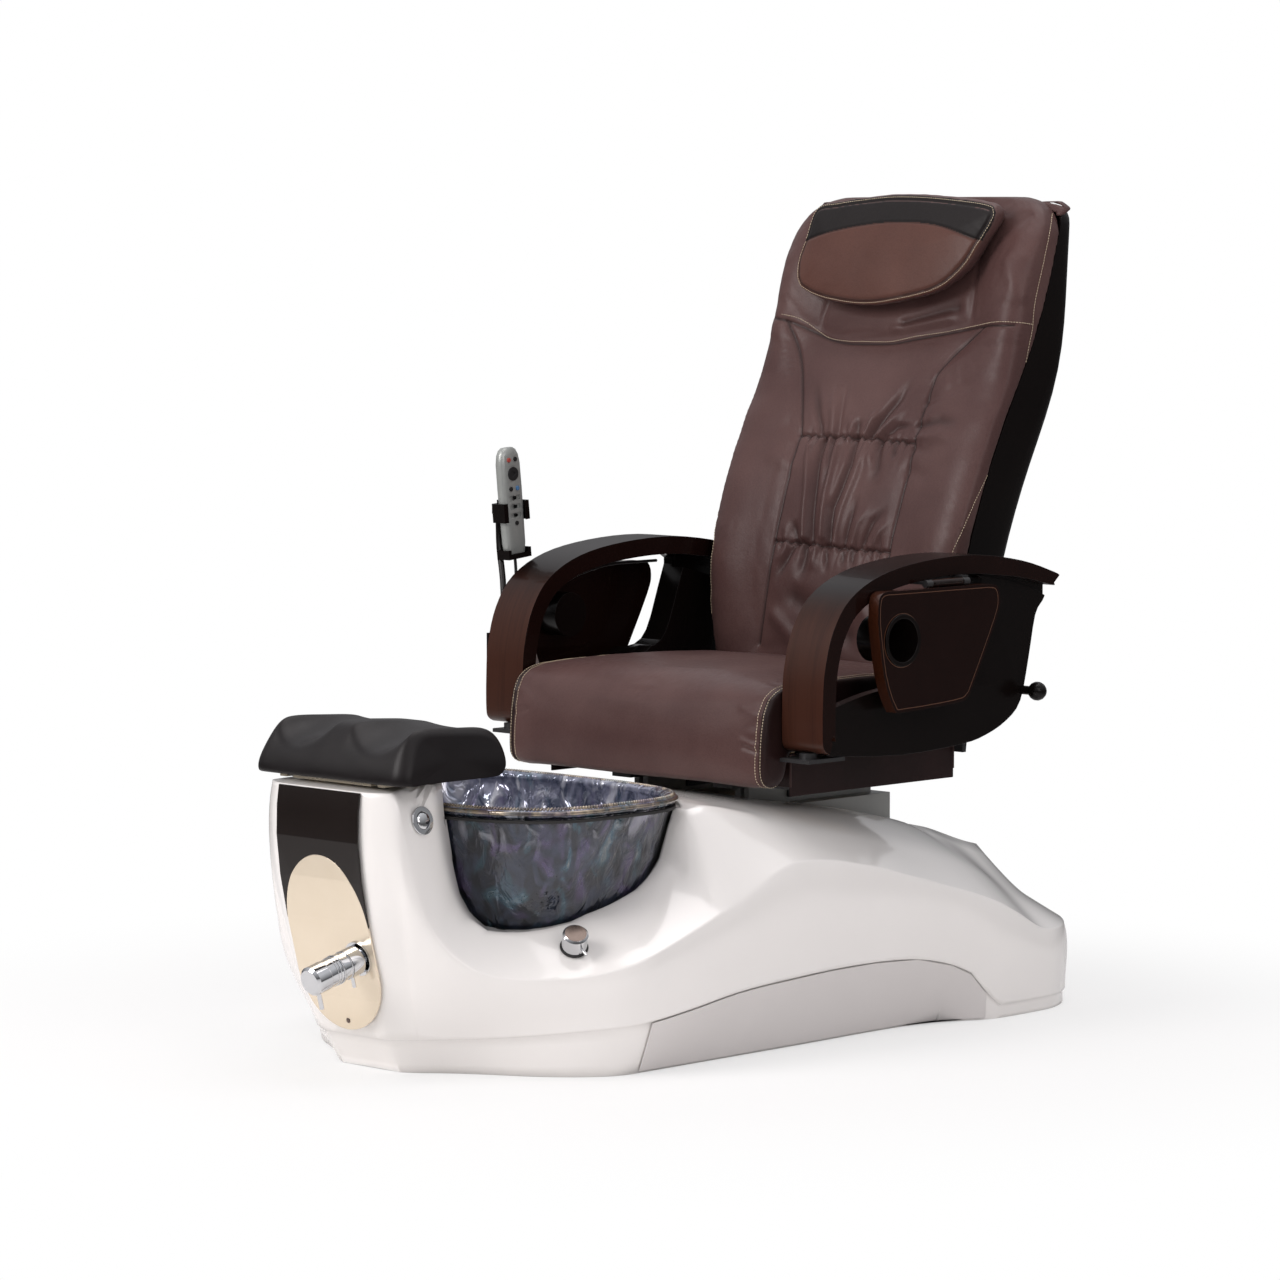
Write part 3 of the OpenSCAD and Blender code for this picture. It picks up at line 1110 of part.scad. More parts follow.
cord_route = [[remote_x, 101, 707.6], [remote_x, 103, 690], [remote_x + 1, 103, 670],
    [remote_x + 4, 101, 650], [remote_x + 12, 99, 632], [-370, 100, 620], [-355, 104, 616],
    [-342, 110, 622], [-334, 118, 636],
    [-328, 130, 650], [-325, 150, 662], [-324, 180, 674], [-324, 215, 682], [-324, 250, 688],
    [-324, 290, 690], [-324, 330, 690], [-324, 368, 690]];
module remote_cord() {
    color(black) tube(concat(bend(cord_route, 3), [cord_route[len(cord_route) - 1]]), cord_d / 2, 8);
}

module access_panel_left() { access_panel(); }
module access_panel_right() { mirror([1, 0, 0]) access_panel(); }

base_shell();
floor_pan();
access_panel_left();
access_panel_right();
plate_upper();
plate_lower();
bowl();
bowl_gasket();
drain_fitting();
drain_stopper();
jet_motor();
jet_impeller();
jet_cover();
valve_body();
valve_lever();
valve_ring();
button_bezel();
air_button();
drain_knob_flange();
drain_knob();
footrest_rails();
footrest_sled();
footrest_pad();
seat_plinth();
seat_frame();
seat_board();
seat_cushion();
seat_skirt();
recline_motor();
back_frame();
back_shell();
back_cushion();
pillow();
massage_carriage();
rollers_upper();
rollers_lower();
arm_left();
side_shell_left();
tray_bracket_left();
tray_left();
cup_left();
lock_knob_left();
arm_right();
side_shell_right();
tray_bracket_right();
tray_right();
cup_right();
lock_knob_right();
remote_holder();
remote();
remote_cord();
key_power();
key_mode();
key_pad();
key_back();
key_seat();
key_air();
key_roll();
key_heat();
key_stop();
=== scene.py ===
import json
import math

import bmesh
import bpy
import numpy as np
from mathutils import Euler, Matrix, Vector, noise
from mathutils.bvhtree import BVHTree


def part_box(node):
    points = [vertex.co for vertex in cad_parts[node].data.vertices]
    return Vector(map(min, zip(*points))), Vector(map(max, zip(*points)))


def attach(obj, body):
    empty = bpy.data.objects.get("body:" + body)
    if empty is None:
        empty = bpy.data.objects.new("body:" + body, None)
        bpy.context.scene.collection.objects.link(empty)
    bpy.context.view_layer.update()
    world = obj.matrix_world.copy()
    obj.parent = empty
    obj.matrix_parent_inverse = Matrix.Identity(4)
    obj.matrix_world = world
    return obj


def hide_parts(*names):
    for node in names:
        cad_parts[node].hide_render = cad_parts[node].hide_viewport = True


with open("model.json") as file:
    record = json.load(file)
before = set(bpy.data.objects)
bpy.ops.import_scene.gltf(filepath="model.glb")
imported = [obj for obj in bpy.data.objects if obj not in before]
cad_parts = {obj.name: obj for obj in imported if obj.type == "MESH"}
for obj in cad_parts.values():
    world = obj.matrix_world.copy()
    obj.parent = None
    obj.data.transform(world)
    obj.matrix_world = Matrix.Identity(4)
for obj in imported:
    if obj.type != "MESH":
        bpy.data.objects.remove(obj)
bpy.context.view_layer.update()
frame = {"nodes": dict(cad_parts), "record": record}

MM = 0.001
OUTER = {"left": 1, "right": -1}    # the way X points outwards on each side
scene = bpy.context.scene
scene.view_settings.view_transform = "Standard"

# ---- camera ---------------------------------------------------------------

TARGET = Vector((0.0, 0.0, 0.600))
CAMERA_AZIMUTH = math.radians(44.5)
CAMERA_ELEVATION = math.radians(4.858)
CAMERA_DISTANCE = 7.752

lens = bpy.data.cameras.new("camera")
lens.lens = 140.625
lens.sensor_width = 36.0
camera = bpy.data.objects.new("camera", lens)
scene.collection.objects.link(camera)
camera.location = TARGET + CAMERA_DISTANCE * Vector((
    math.sin(CAMERA_AZIMUTH) * math.cos(CAMERA_ELEVATION),
    -math.cos(CAMERA_AZIMUTH) * math.cos(CAMERA_ELEVATION),
    math.sin(CAMERA_ELEVATION)))
camera.rotation_euler = (TARGET - camera.location).to_track_quat("-Z", "Y").to_euler()
scene.camera = camera

# ---- nodes and colours ----------------------------------------------------


def linear(code):
    """An sRGB hex colour as the linear colour that the shaders take."""
    parts = [int(code[i:i + 2], 16) / 255 for i in (1, 3, 5)]
    return [c / 12.92 if c <= 0.04045 else ((c + 0.055) / 1.055) ** 2.4 for c in parts] + [1.0]


def set_sockets(tree, node, sockets):
    """Fills or links a node's sockets by name or number."""
    for name, value in sockets.items():
        if isinstance(value, bpy.types.NodeSocket):
            tree.links.new(value, node.inputs[name])
        else:
            node.inputs[name].default_value = value


def add(tree, kind, sockets=None, **settings):
    """Adds a node and sets its properties and sockets."""
    node = tree.nodes.new(kind)
    for name, value in settings.items():
        setattr(node, name, value)
    set_sockets(tree, node, sockets or {})
    return node


def ramp(tree, value, low, high, to_low=0.0, to_high=1.0, **settings):
    """Maps low to high onto to_low to to_high, and stays level beyond them."""
    return add(tree, "ShaderNodeMapRange", {"Value": value, "From Min": low, "From Max": high, "To Min": to_low,
               "To Max": to_high}, **settings).outputs["Result"]


def mix(tree, share, a, b, **settings):
    """Goes from colour a to colour b by share."""
    return add(tree, "ShaderNodeMix", {0: share, 6: a, 7: b}, data_type="RGBA", **settings).outputs[2]


def combine(tree, operation, a, b):
    return add(tree, "ShaderNodeMath", {0: a, 1: b}, operation=operation).outputs["Value"]


def cloud(tree, place, size, detail, **sockets):
    """Noise with features about size metres wide."""
    sockets.update({"Vector": place, "Scale": 1 / size, "Detail": detail})
    return add(tree, "ShaderNodeTexNoise", sockets).outputs["Fac"]


def scaled(tree, place, x, y, z):
    return add(tree, "ShaderNodeMapping", {"Vector": place, "Scale": (x, y, z)}).outputs["Vector"]


def axis(tree, place, letter):
    return add(tree, "ShaderNodeSeparateXYZ", {"Vector": place}).outputs[letter]


def relief(tree, height, depth, strength=1.0, below=None, invert=False):
    """A bump depth metres deep, on top of the bump below it."""
    sockets = {"Height": height, "Distance": depth, "Strength": strength}
    if below is not None:
        sockets["Normal"] = below
    return add(tree, "ShaderNodeBump", sockets, invert=invert).outputs["Normal"]


def start(name, colour, roughness, **sockets):
    """A new material: itself, its nodes, its shader, and the object's own coordinates in metres."""
    material = bpy.data.materials.new(name)
    material.use_nodes = True
    tree = material.node_tree
    tree.nodes.clear()
    place = add(tree, "ShaderNodeTexCoord").outputs["Object"]
    shader = add(tree, "ShaderNodeBsdfPrincipled", {"Base Color": linear(colour), "Roughness": roughness, **sockets})
    add(tree, "ShaderNodeOutputMaterial", {"Surface": shader.outputs["BSDF"]})
    return material, tree, shader, place


def surface(name, colour, worn, roughness, grit, depth, spread=0.06, mottle=0.08, **sockets):
    """A finish with slow mottling over spread metres and a fine grit of grit metres, depth metres high."""
    material, tree, shader, place = start(name, colour, roughness, **sockets)
    slow = cloud(tree, place, spread, 4.0)
    set_sockets(tree, shader, {
        "Base Color": mix(tree, slow, linear(colour), linear(worn)),
        "Roughness": ramp(tree, slow, 0.3, 0.7, roughness * (1 - mottle), roughness * (1 + mottle)),
        "Normal": relief(tree, cloud(tree, place, grit, 2.0), depth)})
    return material


# Sizes in leather: a pore, a handling crease and a rubbed patch
PORE, HANDLING, RUBBED = 2.2 * MM, 0.011, 0.16
# Features of veneer per metre, across the grain and twice along it: pores and bands of stain
GRAIN, BAND = (1 / 0.0035, 1 / 0.09, 1 / 0.09), (1 / 0.022, 1 / 0.30, 1 / 0.30)
# Sizes in lustre glass: a ripple, a fine dimple, a film patch and a film streak
RIPPLE, DIMPLE, PATCH, STREAK = 0.030, 0.008, 0.045, 0.028


def hide(name, colour, worn, roughness):
    """Polyurethane leather: pebbled pores, shallow handling creases and a soft sheen on its high spots, with painted
    shade in its sewn lines and in the grooves between its pebbles.
    """
    material, tree, shader, place = start(name, colour, roughness, **{
        "Sheen Weight": 0.02, "Sheen Roughness": 0.4, "Specular IOR Level": 0.2})
    pores = add(tree, "ShaderNodeTexVoronoi", {"Vector": place, "Scale": 1 / PORE}, feature="F1").outputs["Distance"]
    creases = cloud(tree, place, HANDLING, 5.0, Distortion=0.7)
    rubbed = ramp(tree, cloud(tree, place, RUBBED, 3.0), 0.35, 0.7)
    # The grooves between the pebbles are a tenth darker: painted shade
    shade = mix(tree, 1.0, mix(tree, rubbed, linear(colour), linear(worn)), ramp(tree, pores, 0.35, 0.75, 1.0, 0.9),
                blend_type="MULTIPLY")
    # Sewn lines carry their depth in an attribute, and the leather is darkened there as painted shade
    sewn = add(tree, "ShaderNodeAttribute", attribute_name="crease").outputs["Fac"]
    low = relief(tree, creases, 0.5 * MM, 0.5)
    set_sockets(tree, shader, {
        "Base Color": mix(tree, sewn, shade, linear("#150d0c")),
        "Roughness": ramp(tree, creases, 0.3, 0.7, roughness - 0.05, roughness + 0.06),
        "Normal": relief(tree, pores, 0.10 * MM, 0.8, low, invert=True)})
    return material


def veneer(name, dark, light, front_y, back_y):
    """Stained beech under clear gloss lacquer: fine pores along the band, and a stain that thins to the front."""
    material, tree, shader, place = start(name, dark, 0.34, **{
        "Coat Weight": 0.17, "Coat Roughness": 0.03, "Specular IOR Level": 0.12})
    pores = cloud(tree, scaled(tree, place, *GRAIN), 1.0, 6.0, Roughness=0.62, Distortion=0.4)
    bands = cloud(tree, scaled(tree, place, *BAND), 1.0, 3.0)
    front = ramp(tree, axis(tree, place, "Y"), back_y, front_y, interpolation_type="SMOOTHSTEP")
    stained = combine(tree, "MULTIPLY", combine(tree, "ADD", pores, bands), front)
    set_sockets(tree, shader, {"Base Color": mix(tree, stained, linear(dark), linear(light)),
                               "Normal": relief(tree, pores, 0.03 * MM, 0.6)})
    return material


def lustre_glass(name, deep_colour, pale_colour, wave, glint_from, glint_to, glint_share):
    """Hand-blown lustre glass, rippled by its mould: a metal film in slate and violet, with painted glints in torn
    pale patches near its top.
    """
    material, tree, shader, place = start(name, pale_colour, 0.09, **{
        "Metallic": 0.5, "Coat Weight": 1.0, "Coat Roughness": 0.02})
    flow = scaled(tree, place, 1.0, 1.0, 0.6)
    ripple = cloud(tree, flow, RIPPLE, 3.0, Roughness=0.45, Distortion=0.8)
    patch = cloud(tree, flow, PATCH, 4.0, Distortion=1.0)
    streak = cloud(tree, flow, STREAK, 4.0, Distortion=1.1)
    tone = mix(tree, ramp(tree, streak, 0.38, 0.66), linear(deep_colour), linear(pale_colour))
    # Film colours by patch: where each starts, where it is full, how strong, and the colour
    for begin, full, most, colour in ((0.56, 0.68, 0.34, "#4a7c8c"), (0.44, 0.33, 0.36, "#6d5b88"),
                                      (0.66, 0.74, 0.4, "#a3968c")):
        tone = mix(tree, ramp(tree, patch, begin, full, 0.0, most), tone, linear(colour))
    # Painted glints: pale torn patches near the rim, standing in for highlights
    high = ramp(tree, axis(tree, place, "Z"), glint_from, glint_to)
    glint_patches = ramp(tree, ripple, 0.54, 0.68)
    painted_glints = combine(tree, "MULTIPLY", combine(tree, "MULTIPLY", high, glint_patches), glint_share)
    low = relief(tree, ripple, wave)
    set_sockets(tree, shader, {
        "Base Color": mix(tree, painted_glints, tone, linear("#d2d3dc")),
        "Normal": relief(tree, cloud(tree, flow, DIMPLE, 2.0), 0.4 * MM, 0.5, low),
        "Coat Normal": low})
    return material


# Sprayed gelcoat over glass fibre: deep gloss, with the faint orange peel of a gun finish
gelcoat = surface("gelcoat_white", "#f4f1ee", "#eeebe8", 0.16, 5 * MM, 0.03 * MM, spread=0.22,
                  **{"Coat Weight": 0.6, "Coat Roughness": 0.05})
# Vacuum-formed ABS panel, a shade duller than the shell
panel_abs = surface("abs_panel", "#dcd8d6", "#d5d1cf", 0.3, 2.5 * MM, 0.04 * MM, spread=0.12)
# Back-painted black acrylic sheet: flat and glassy
acrylic_black = surface("acrylic_black", "#191311", "#1d1715", 0.14, 30 * MM, 0.02 * MM,
                        **{"Specular IOR Level": 0.35})
# Titanium-coated stainless sheet, mirror rolled: champagne, with a faint rolling haze
champagne = surface("champagne_steel", "#eee0cb", "#e6d7c0", 0.2, 40 * MM, 0.05 * MM, Metallic=0.55)
# Satin steel trim of the sled, duller than the plates
champagne_trim = surface("champagne_trim", "#d8cdb9", "#cbbfa9", 0.28, 3 * MM, 0.03 * MM, Metallic=0.8)
# The bowl: dark outside, paler and wavier inside, bronze on its roped rim; each has painted glints near the top, and
# the inside's paleness is painted glints too
lustre = lustre_glass("lustre_glass", "#161922", "#343b4c", 7 * MM, 0.315, 0.39, 0.5)
lustre_inside_painted_glints = lustre_glass("lustre_inside_painted_glints", "#4b5165", "#9496aa", 8 * MM, 0.27, 0.34, 1.0)
lustre_rim = lustre_glass("lustre_rim", "#3f3631", "#a5957f", 2 * MM, 0.3, 0.5, 0.3)
# Nitrile seal: matt and slightly bloomed
rubber = surface("nitrile_rubber", "#1f1e1e", "#2b2a29", 0.62, 1.2 * MM, 0.05 * MM)
# Chrome plate over polished brass: mirror, with slight waviness in the plating
chrome = surface("chrome_plate", "#d9dadc", "#c9cbce", 0.06, 12 * MM, 0.03 * MM, spread=0.03, Metallic=1.0)
# Bright zinc on pressed steel: spangled and satin
zinc = surface("zinc_plate", "#9a9da0", "#8a8d90", 0.38, 4 * MM, 0.03 * MM, spread=0.02, Metallic=1.0)
# Black powder coat: even fine orange peel
powder_black = surface("powder_coat_black", "#201f20", "#282728", 0.42, 1.6 * MM, 0.06 * MM)
# Grey powder coat of the plinth, a little glossier than the black
powder_grey = surface("powder_coat_grey", "#8e8f8d", "#9b9c99", 0.36, 1.8 * MM, 0.06 * MM, spread=0.08)
# Satin black ABS, spark-eroded mould: soft broad highlights
abs_black = surface("abs_black", "#0c0807", "#100b0a", 0.2, 1.0 * MM, 0.02 * MM, spread=0.10,
                    **{"Specular IOR Level": 0.2})
# Chrome darkened as a painted dark reflection, on the knob's end
chrome_dark_reflection = surface("chrome_dark_reflection", "#6f635d", "#645952", 0.22, 10 * MM, 0.02 * MM, spread=0.02, Metallic=0.9)
# Plain grey ABS of the jet and the rollers
abs_grey = surface("abs_grey", "#b0b2b0", "#a4a6a4", 0.34, 1.0 * MM, 0.03 * MM)
# Self-skinned polyurethane foam: dull black, with a fine leathery mould grain
pu_foam = surface("pu_foam_skin", "#100c0d", "#171213", 0.41, 1.9 * MM, 0.12 * MM, spread=0.05, mottle=0.12,
                  **{"Specular IOR Level": 0.25})
# Raw birch plywood: dry and matt
plywood = surface("birch_plywood", "#a3835c", "#8d6f4b", 0.6, 4 * MM, 0.2 * MM, spread=0.03)
# Leather of the cover, its boxed sides and apron, and the two panels of the pillow
leather = hide("leather_brown", "#4c3533", "#5b4340", 0.38)
leather_dark = hide("leather_skirt", "#1f1110", "#2b1918", 0.40)
leather_red = hide("leather_chestnut", "#4f332c", "#5a3b33", 0.38)
leather_black = hide("leather_black", "#161212", "#1c1717", 0.5)
# Bonded polyester thread: cream, with the shine of its twist
thread = surface("thread_cream", "#dccbb0", "#cdb99a", 0.55, 0.8 * MM, 0.1 * MM)
# Leather rolled round a cord, drier than the cover
piping_dark = hide("piping_brown", "#3d2c2a", "#463330", 0.45)
# Lacquered wood: the arms' bands show stained grain, the flat faces and trays are almost black
espresso = veneer("beech_espresso", "#0f0605", "#3b2118", 0.02, 0.11)
espresso_tray = surface("lacquer_espresso", "#150907", "#1b0c09", 0.2, 8 * MM, 0.02 * MM, spread=0.05,
                        **{"Coat Weight": 0.18, "Coat Roughness": 0.03, "Specular IOR Level": 0.12})
# Line let into each tray, and its edge: painted highlights in amber
groove_highlight = surface("groove_line_highlight", "#4a2f20", "#5a3a28", 0.3, 2 * MM, 0.02 * MM, **{"Coat Weight": 0.3})
painted_edge_highlight = surface("amber_painted_edge_highlight", "#2a1209", "#3b1c0e", 0.25, 2 * MM, 0.03 * MM,
                    **{"Coat Weight": 0.5, "Coat Roughness": 0.05, "Specular IOR Level": 0.3})
# Injection-moulded remote: silver paint on ABS
silver_paint = surface("silver_paint", "#a9aca9", "#9b9e9b", 0.33, 0.9 * MM, 0.02 * MM, spread=0.02, Metallic=0.35)
# Silicone keys: matt
key_red = surface("key_red", "#b04a40", "#a3443b", 0.45, 1.0 * MM, 0.03 * MM)
key_black = surface("key_black", "#191919", "#212122", 0.5, 1.0 * MM, 0.03 * MM)
key_blue = surface("key_blue", "#5583b3", "#4b78a6", 0.45, 1.0 * MM, 0.03 * MM)
# PVC cable sheath: dull black with a slight sheen
sheath = surface("pvc_sheath", "#1b1b1c", "#242425", 0.4, 1.0 * MM, 0.03 * MM)

# ---- making pieces --------------------------------------------------------

BODY_OF = {node: body for body, members in frame["record"]["behaviour"]["bodies"].items() for node in members}
BLUNT = math.radians(58)       # an upright corner that turns less than this stays soft on the base's toe


def merged(node):
    """A CAD piece's mesh with its loose triangles joined at their corners."""
    bm = bmesh.new()
    bm.from_mesh(frame["nodes"][node].data)
    bmesh.ops.remove_doubles(bm, verts=bm.verts, dist=0.01 * MM)
    return bm


def whole(node):
    """A CAD piece's mesh with each flat face in one."""
    bm = merged(node)
    bmesh.ops.dissolve_limit(bm, angle_limit=math.radians(0.5), verts=bm.verts, edges=bm.edges)
    return bm


def skin(bm):
    """A mesh's surface, for rays to meet. The mesh is freed."""
    tree = BVHTree.FromBMesh(bm)
    bm.free()
    return tree


def placed(bm, name):
    """A mesh as an object of the scene."""
    mesh = bpy.data.meshes.new(name)
    bm.to_mesh(mesh)
    bm.free()
    piece = bpy.data.objects.new(name, mesh)
    scene.collection.objects.link(piece)
    return piece


def declare(piece, body, stands_for=()):
    """Puts a piece under its body's empty and hides the CAD pieces that it shows."""
    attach(piece, body)
    if stands_for:
        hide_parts(*stands_for)


def show(bm, name, body, material, stands_for=(), turn=35):
    """Makes a mesh a piece of the scene: smooth but for edges that turn more than turn degrees."""
    piece = placed(bm, name)
    piece.data.shade_smooth()
    piece.data.set_sharp_from_angle(angle=math.radians(turn))
    for each in material if isinstance(material, list) else [material]:
        piece.data.materials.append(each)
    declare(piece, body, stands_for)
    return piece


def round_edges(piece, width, turn=35, segments=3):
    bevel = piece.modifiers.new("edges", "BEVEL")
    bevel.width = width
    bevel.segments = segments
    bevel.limit_method = "ANGLE"
    bevel.angle_limit = math.radians(turn)
    bevel.harden_normals = True


def subdivide(piece, levels):
    smooth = piece.modifiers.new("finer", "SUBSURF")
    smooth.levels = smooth.render_levels = levels


def dress(node, material, edge=0.0, turn=35, segments=3):
    """Shows a CAD piece as it is, with rounded edges and smooth curves."""
    piece = show(whole(node), node + "_form", BODY_OF[node], material, [node], turn)
    if edge:
        round_edges(piece, edge, turn, segments)
    return piece


def dress_each(*rows):
    """Dresses CAD pieces by rows of (node, material, slot, edge in millimetres); the slot is not used."""
    for node, material, slot, edge in rows:
        dress(node, material, edge * MM)


def soften(node, material, crease_turn, crease, levels, join, toe=None, shape=None):
    """Shows a lofted CAD piece as a subdivided surface, creased where it turns sharply, but for the blunt upright
    corners further forward than toe."""
    bm = merged(node)
    bmesh.ops.join_triangles(bm, faces=bm.faces, angle_face_threshold=math.radians(join),
                             angle_shape_threshold=math.radians(180), topology_influence=0.0)
    if shape:
        shape(bm)
        bm.normal_update()
    layer = bm.edges.layers.float.new("crease_edge")
    for edge in bm.edges:
        a, b = (vert.co for vert in edge.verts)
        if len(edge.link_faces) != 2 or edge.calc_face_angle() < math.radians(crease_turn):
            continue
        upright = abs(a.z - b.z) > 0.6 * (a - b).length
        if not (toe and upright and max(a.y, b.y) < toe and edge.calc_face_angle() < BLUNT):
            edge[layer] = crease
    piece = show(bm, node + "_form", BODY_OF[node], material, [node], 50)
    subdivide(piece, levels)
    return piece


def bake(piece):
    """Applies a piece's modifiers to its mesh."""
    depsgraph = bpy.context.evaluated_depsgraph_get()
    mesh = bpy.data.meshes.new_from_object(piece.evaluated_get(depsgraph))
    piece.modifiers.clear()
    piece.data = mesh


def stretch(rings):
    """A skin over closed rings of points, closed at both ends."""
    bm = bmesh.new()
    loops = []
    for ring in rings:
        corners = [bm.verts.new(place) for place in ring]
        loops.append([bm.edges.new((a, b)) for a, b in zip(corners, corners[1:] + corners[:1])])
    for a, b in zip(loops, loops[1:]):
        bmesh.ops.bridge_loops(bm, edges=a + b)
    for end in (loops[0], loops[-1]):
        bmesh.ops.edgeloop_fill(bm, edges=end)
    bmesh.ops.recalc_face_normals(bm, faces=bm.faces)
    return bm


# ---- remote's cord --------------------------------------------------------

REMOTE_X = -0.383
CORD_D = 0.005
cord_route = [(REMOTE_X, 0.101, 0.7076), (REMOTE_X, 0.103, 0.690), (REMOTE_X + 0.001, 0.103, 0.670),
              (REMOTE_X + 0.004, 0.101, 0.650), (REMOTE_X + 0.012, 0.099, 0.632), (-0.370, 0.100, 0.620),
              (-0.355, 0.104, 0.616), (-0.342, 0.110, 0.622), (-0.334, 0.118, 0.636), (-0.328, 0.130, 0.650),
              (-0.325, 0.150, 0.662), (-0.324, 0.180, 0.674), (-0.324, 0.215, 0.682), (-0.324, 0.250, 0.688),
              (-0.324, 0.290, 0.690), (-0.324, 0.330, 0.690), (-0.324, 0.368, 0.690)]


def bend(corners, steps):
    """A smooth run of points through the corners of an open line."""
    last = len(corners) - 1
    run = []
    for i in range(last):
        a, b, d, e = (Vector(corners[j]) for j in (max(i - 1, 0), i, i + 1, min(i + 2, last)))
        for k in range(steps):
            t = k / steps
            run.append(0.5 * (2 * b + (d - a) * t + (2 * a - 5 * b + 4 * d - e) * t ** 2
                              + (3 * b - a - 3 * d + e) * t ** 3))
    return run + [Vector(corners[last])]


def run_length(points):
    return sum((b - a).length for a, b in zip(points, points[1:]))


def wire(name, points, diameter, body, material, closed=False):
    """A round cord, piping or tube along a run of points."""
    data = bpy.data.curves.new(name, "CURVE")
    data.dimensions = "3D"
    data.bevel_depth = diameter / 2
    data.bevel_resolution = 3
    data.use_fill_caps = not closed
    line = data.splines.new("POLY")
    line.points.add(len(points) - 1)
    for point, place in zip(line.points, points):
        point.co = (*place, 1.0)
    line.use_cyclic_u = closed
    piece = bpy.data.objects.new(name, data)
    scene.collection.objects.link(piece)
    data.materials.append(material)
    declare(piece, body)
    return piece


cord_line = bend(cord_route, 4)
remote_lead = wire("remote_lead", cord_line, CORD_D, "right_arm", sheath)
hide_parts("remote_cord")

# ---- base -----------------------------------------------------------------

TOE_Y = -0.42          # the toe lies forward of this
TUCK_Z = 0.12          # the foot is drawn in below this
TUCK_RUN = 0.16        # and more and more over this length of the toe
TUCK_MID = -0.35       # towards this line across the chair
TUCK_IN = 0.030


def tuck_toe(bm):
    """Draws the foot of the base's toe in under it."""
    for vert in bm.verts:
        low = max(0.0, 1 - vert.co.z / TUCK_Z)
        front = min(1.0, max(0.0, (TOE_Y - vert.co.y) / TUCK_RUN))
        inward = Vector((vert.co.x, vert.co.y - TUCK_MID, 0)).normalized()
        vert.co -= inward * TUCK_IN * low * low * front * front * (3 - 2 * front)


soften("base_shell", gelcoat, 24, 1.0, levels=2, join=25, toe=TOE_Y, shape=tuck_toe)
for side in OUTER:
    dress("access_panel_" + side, panel_abs, 1.2 * MM, 40)
bm = merged("floor_pan")
tuck_toe(bm)
round_edges(show(bm, "floor_pan_form", "base", powder_black, ["floor_pan"]), 0.6 * MM)
dress_each(("plate_upper", acrylic_black, "plate_dark", 0.5), ("plate_lower", champagne, "plate_champagne", 0.5))
glass = soften("bowl", [lustre, lustre_inside_painted_glints], 40, 1.0, levels=2, join=40)

# The bowl's rim: its half width and half length, middle, height, and how square its oblong is
BOWL_HW = 280 * MM
BOWL_HL = 192 * MM
BOWL_Y = -322 * MM
RIM_Z = 388 * MM
BOWL_POWER = 3.2

# Faces inside the bowl take the paler copy, whose paleness is painted glints
for face in glass.data.polygons:
    out_from = Vector((face.center.x, face.center.y - BOWL_Y, 0))
    if face.normal.dot(out_from) < 0 or face.normal.z > 0.5:
        face.material_index = 1


def angles(count):
    """A full turn in even steps."""
    return [2 * math.pi * i / count for i in range(count)]


def rim_point(turn, out, z):
    """A point of the bowl's rounded oblong, out from its rim and at height z."""
    c, s = math.cos(turn), math.sin(turn)
    return Vector(((BOWL_HW + out) * math.copysign(abs(c) ** (2 / BOWL_POWER), c),
                   BOWL_Y + (BOWL_HL + out) * math.copysign(abs(s) ** (2 / BOWL_POWER), s), z))


def beads(name, out, z, pitch, lean_back, size):
    """A roped rim: slanting glass beads pressed side by side."""
    ring = [rim_point(turn, out, z) for turn in angles(1440)]
    bm = bmesh.new()
    left = 0.0
    for a, b in zip(ring, ring[1:] + ring[:1]):
        span = (b - a).length
        along = (b - a).normalized()
        while left < span:
            turn = Matrix((along, Vector((0, 0, 1)).cross(along), Vector((0, 0, 1)))).transposed()
            slant = turn @ Matrix.Rotation(lean_back, 3, "Y") @ Matrix.Diagonal(size)
            bmesh.ops.create_uvsphere(bm, u_segments=8, v_segments=5, radius=1.0,
                                      matrix=Matrix.Translation(a + along * left) @ slant.to_4x4())
            left += pitch
        left -= span
    return show(bm, name, "base", lustre_rim, turn=180)


beads("rim_rope", 3 * MM, RIM_Z + 6.5 * MM, 5.0 * MM, math.radians(35), (2.3 * MM, 3.6 * MM, 4.6 * MM))
wire("rim_lip", [rim_point(turn, 7.5 * MM, RIM_Z + 1.2 * MM) for turn in angles(360)], 6.5 * MM, "base", lustre_rim,
     closed=True)
dress("bowl_gasket", rubber, 0.3 * MM)
spot, facing_out, _, _ = skin(merged("plate_lower")).ray_cast(Vector((0.004, -1.0, 0.076)), Vector((0, 1, 0)))
bm = bmesh.new()
bmesh.ops.create_uvsphere(bm, u_segments=24, v_segments=12, radius=4.2 * MM,
                          matrix=Matrix.Translation(spot) @ facing_out.to_track_quat("Z", "Y").to_matrix().to_4x4()
                          @ Matrix.Diagonal((1, 1, 0.45, 1)))
# The screw's head is chrome darkened as a painted dark reflection
show(bm, "plate_screw", "base", chrome_dark_reflection)
dress_each(("drain_fitting", chrome, "chrome", 0.6), ("drain_stopper", chrome, "chrome", 0.8),
           ("jet_motor", powder_black, "motor", 1), ("jet_impeller", abs_grey, "grille", 0.3),
           ("jet_cover", abs_grey, "grille", 0.8), ("valve_body", chrome, "chrome", 1),
           ("valve_lever", chrome, "chrome", 0.8))
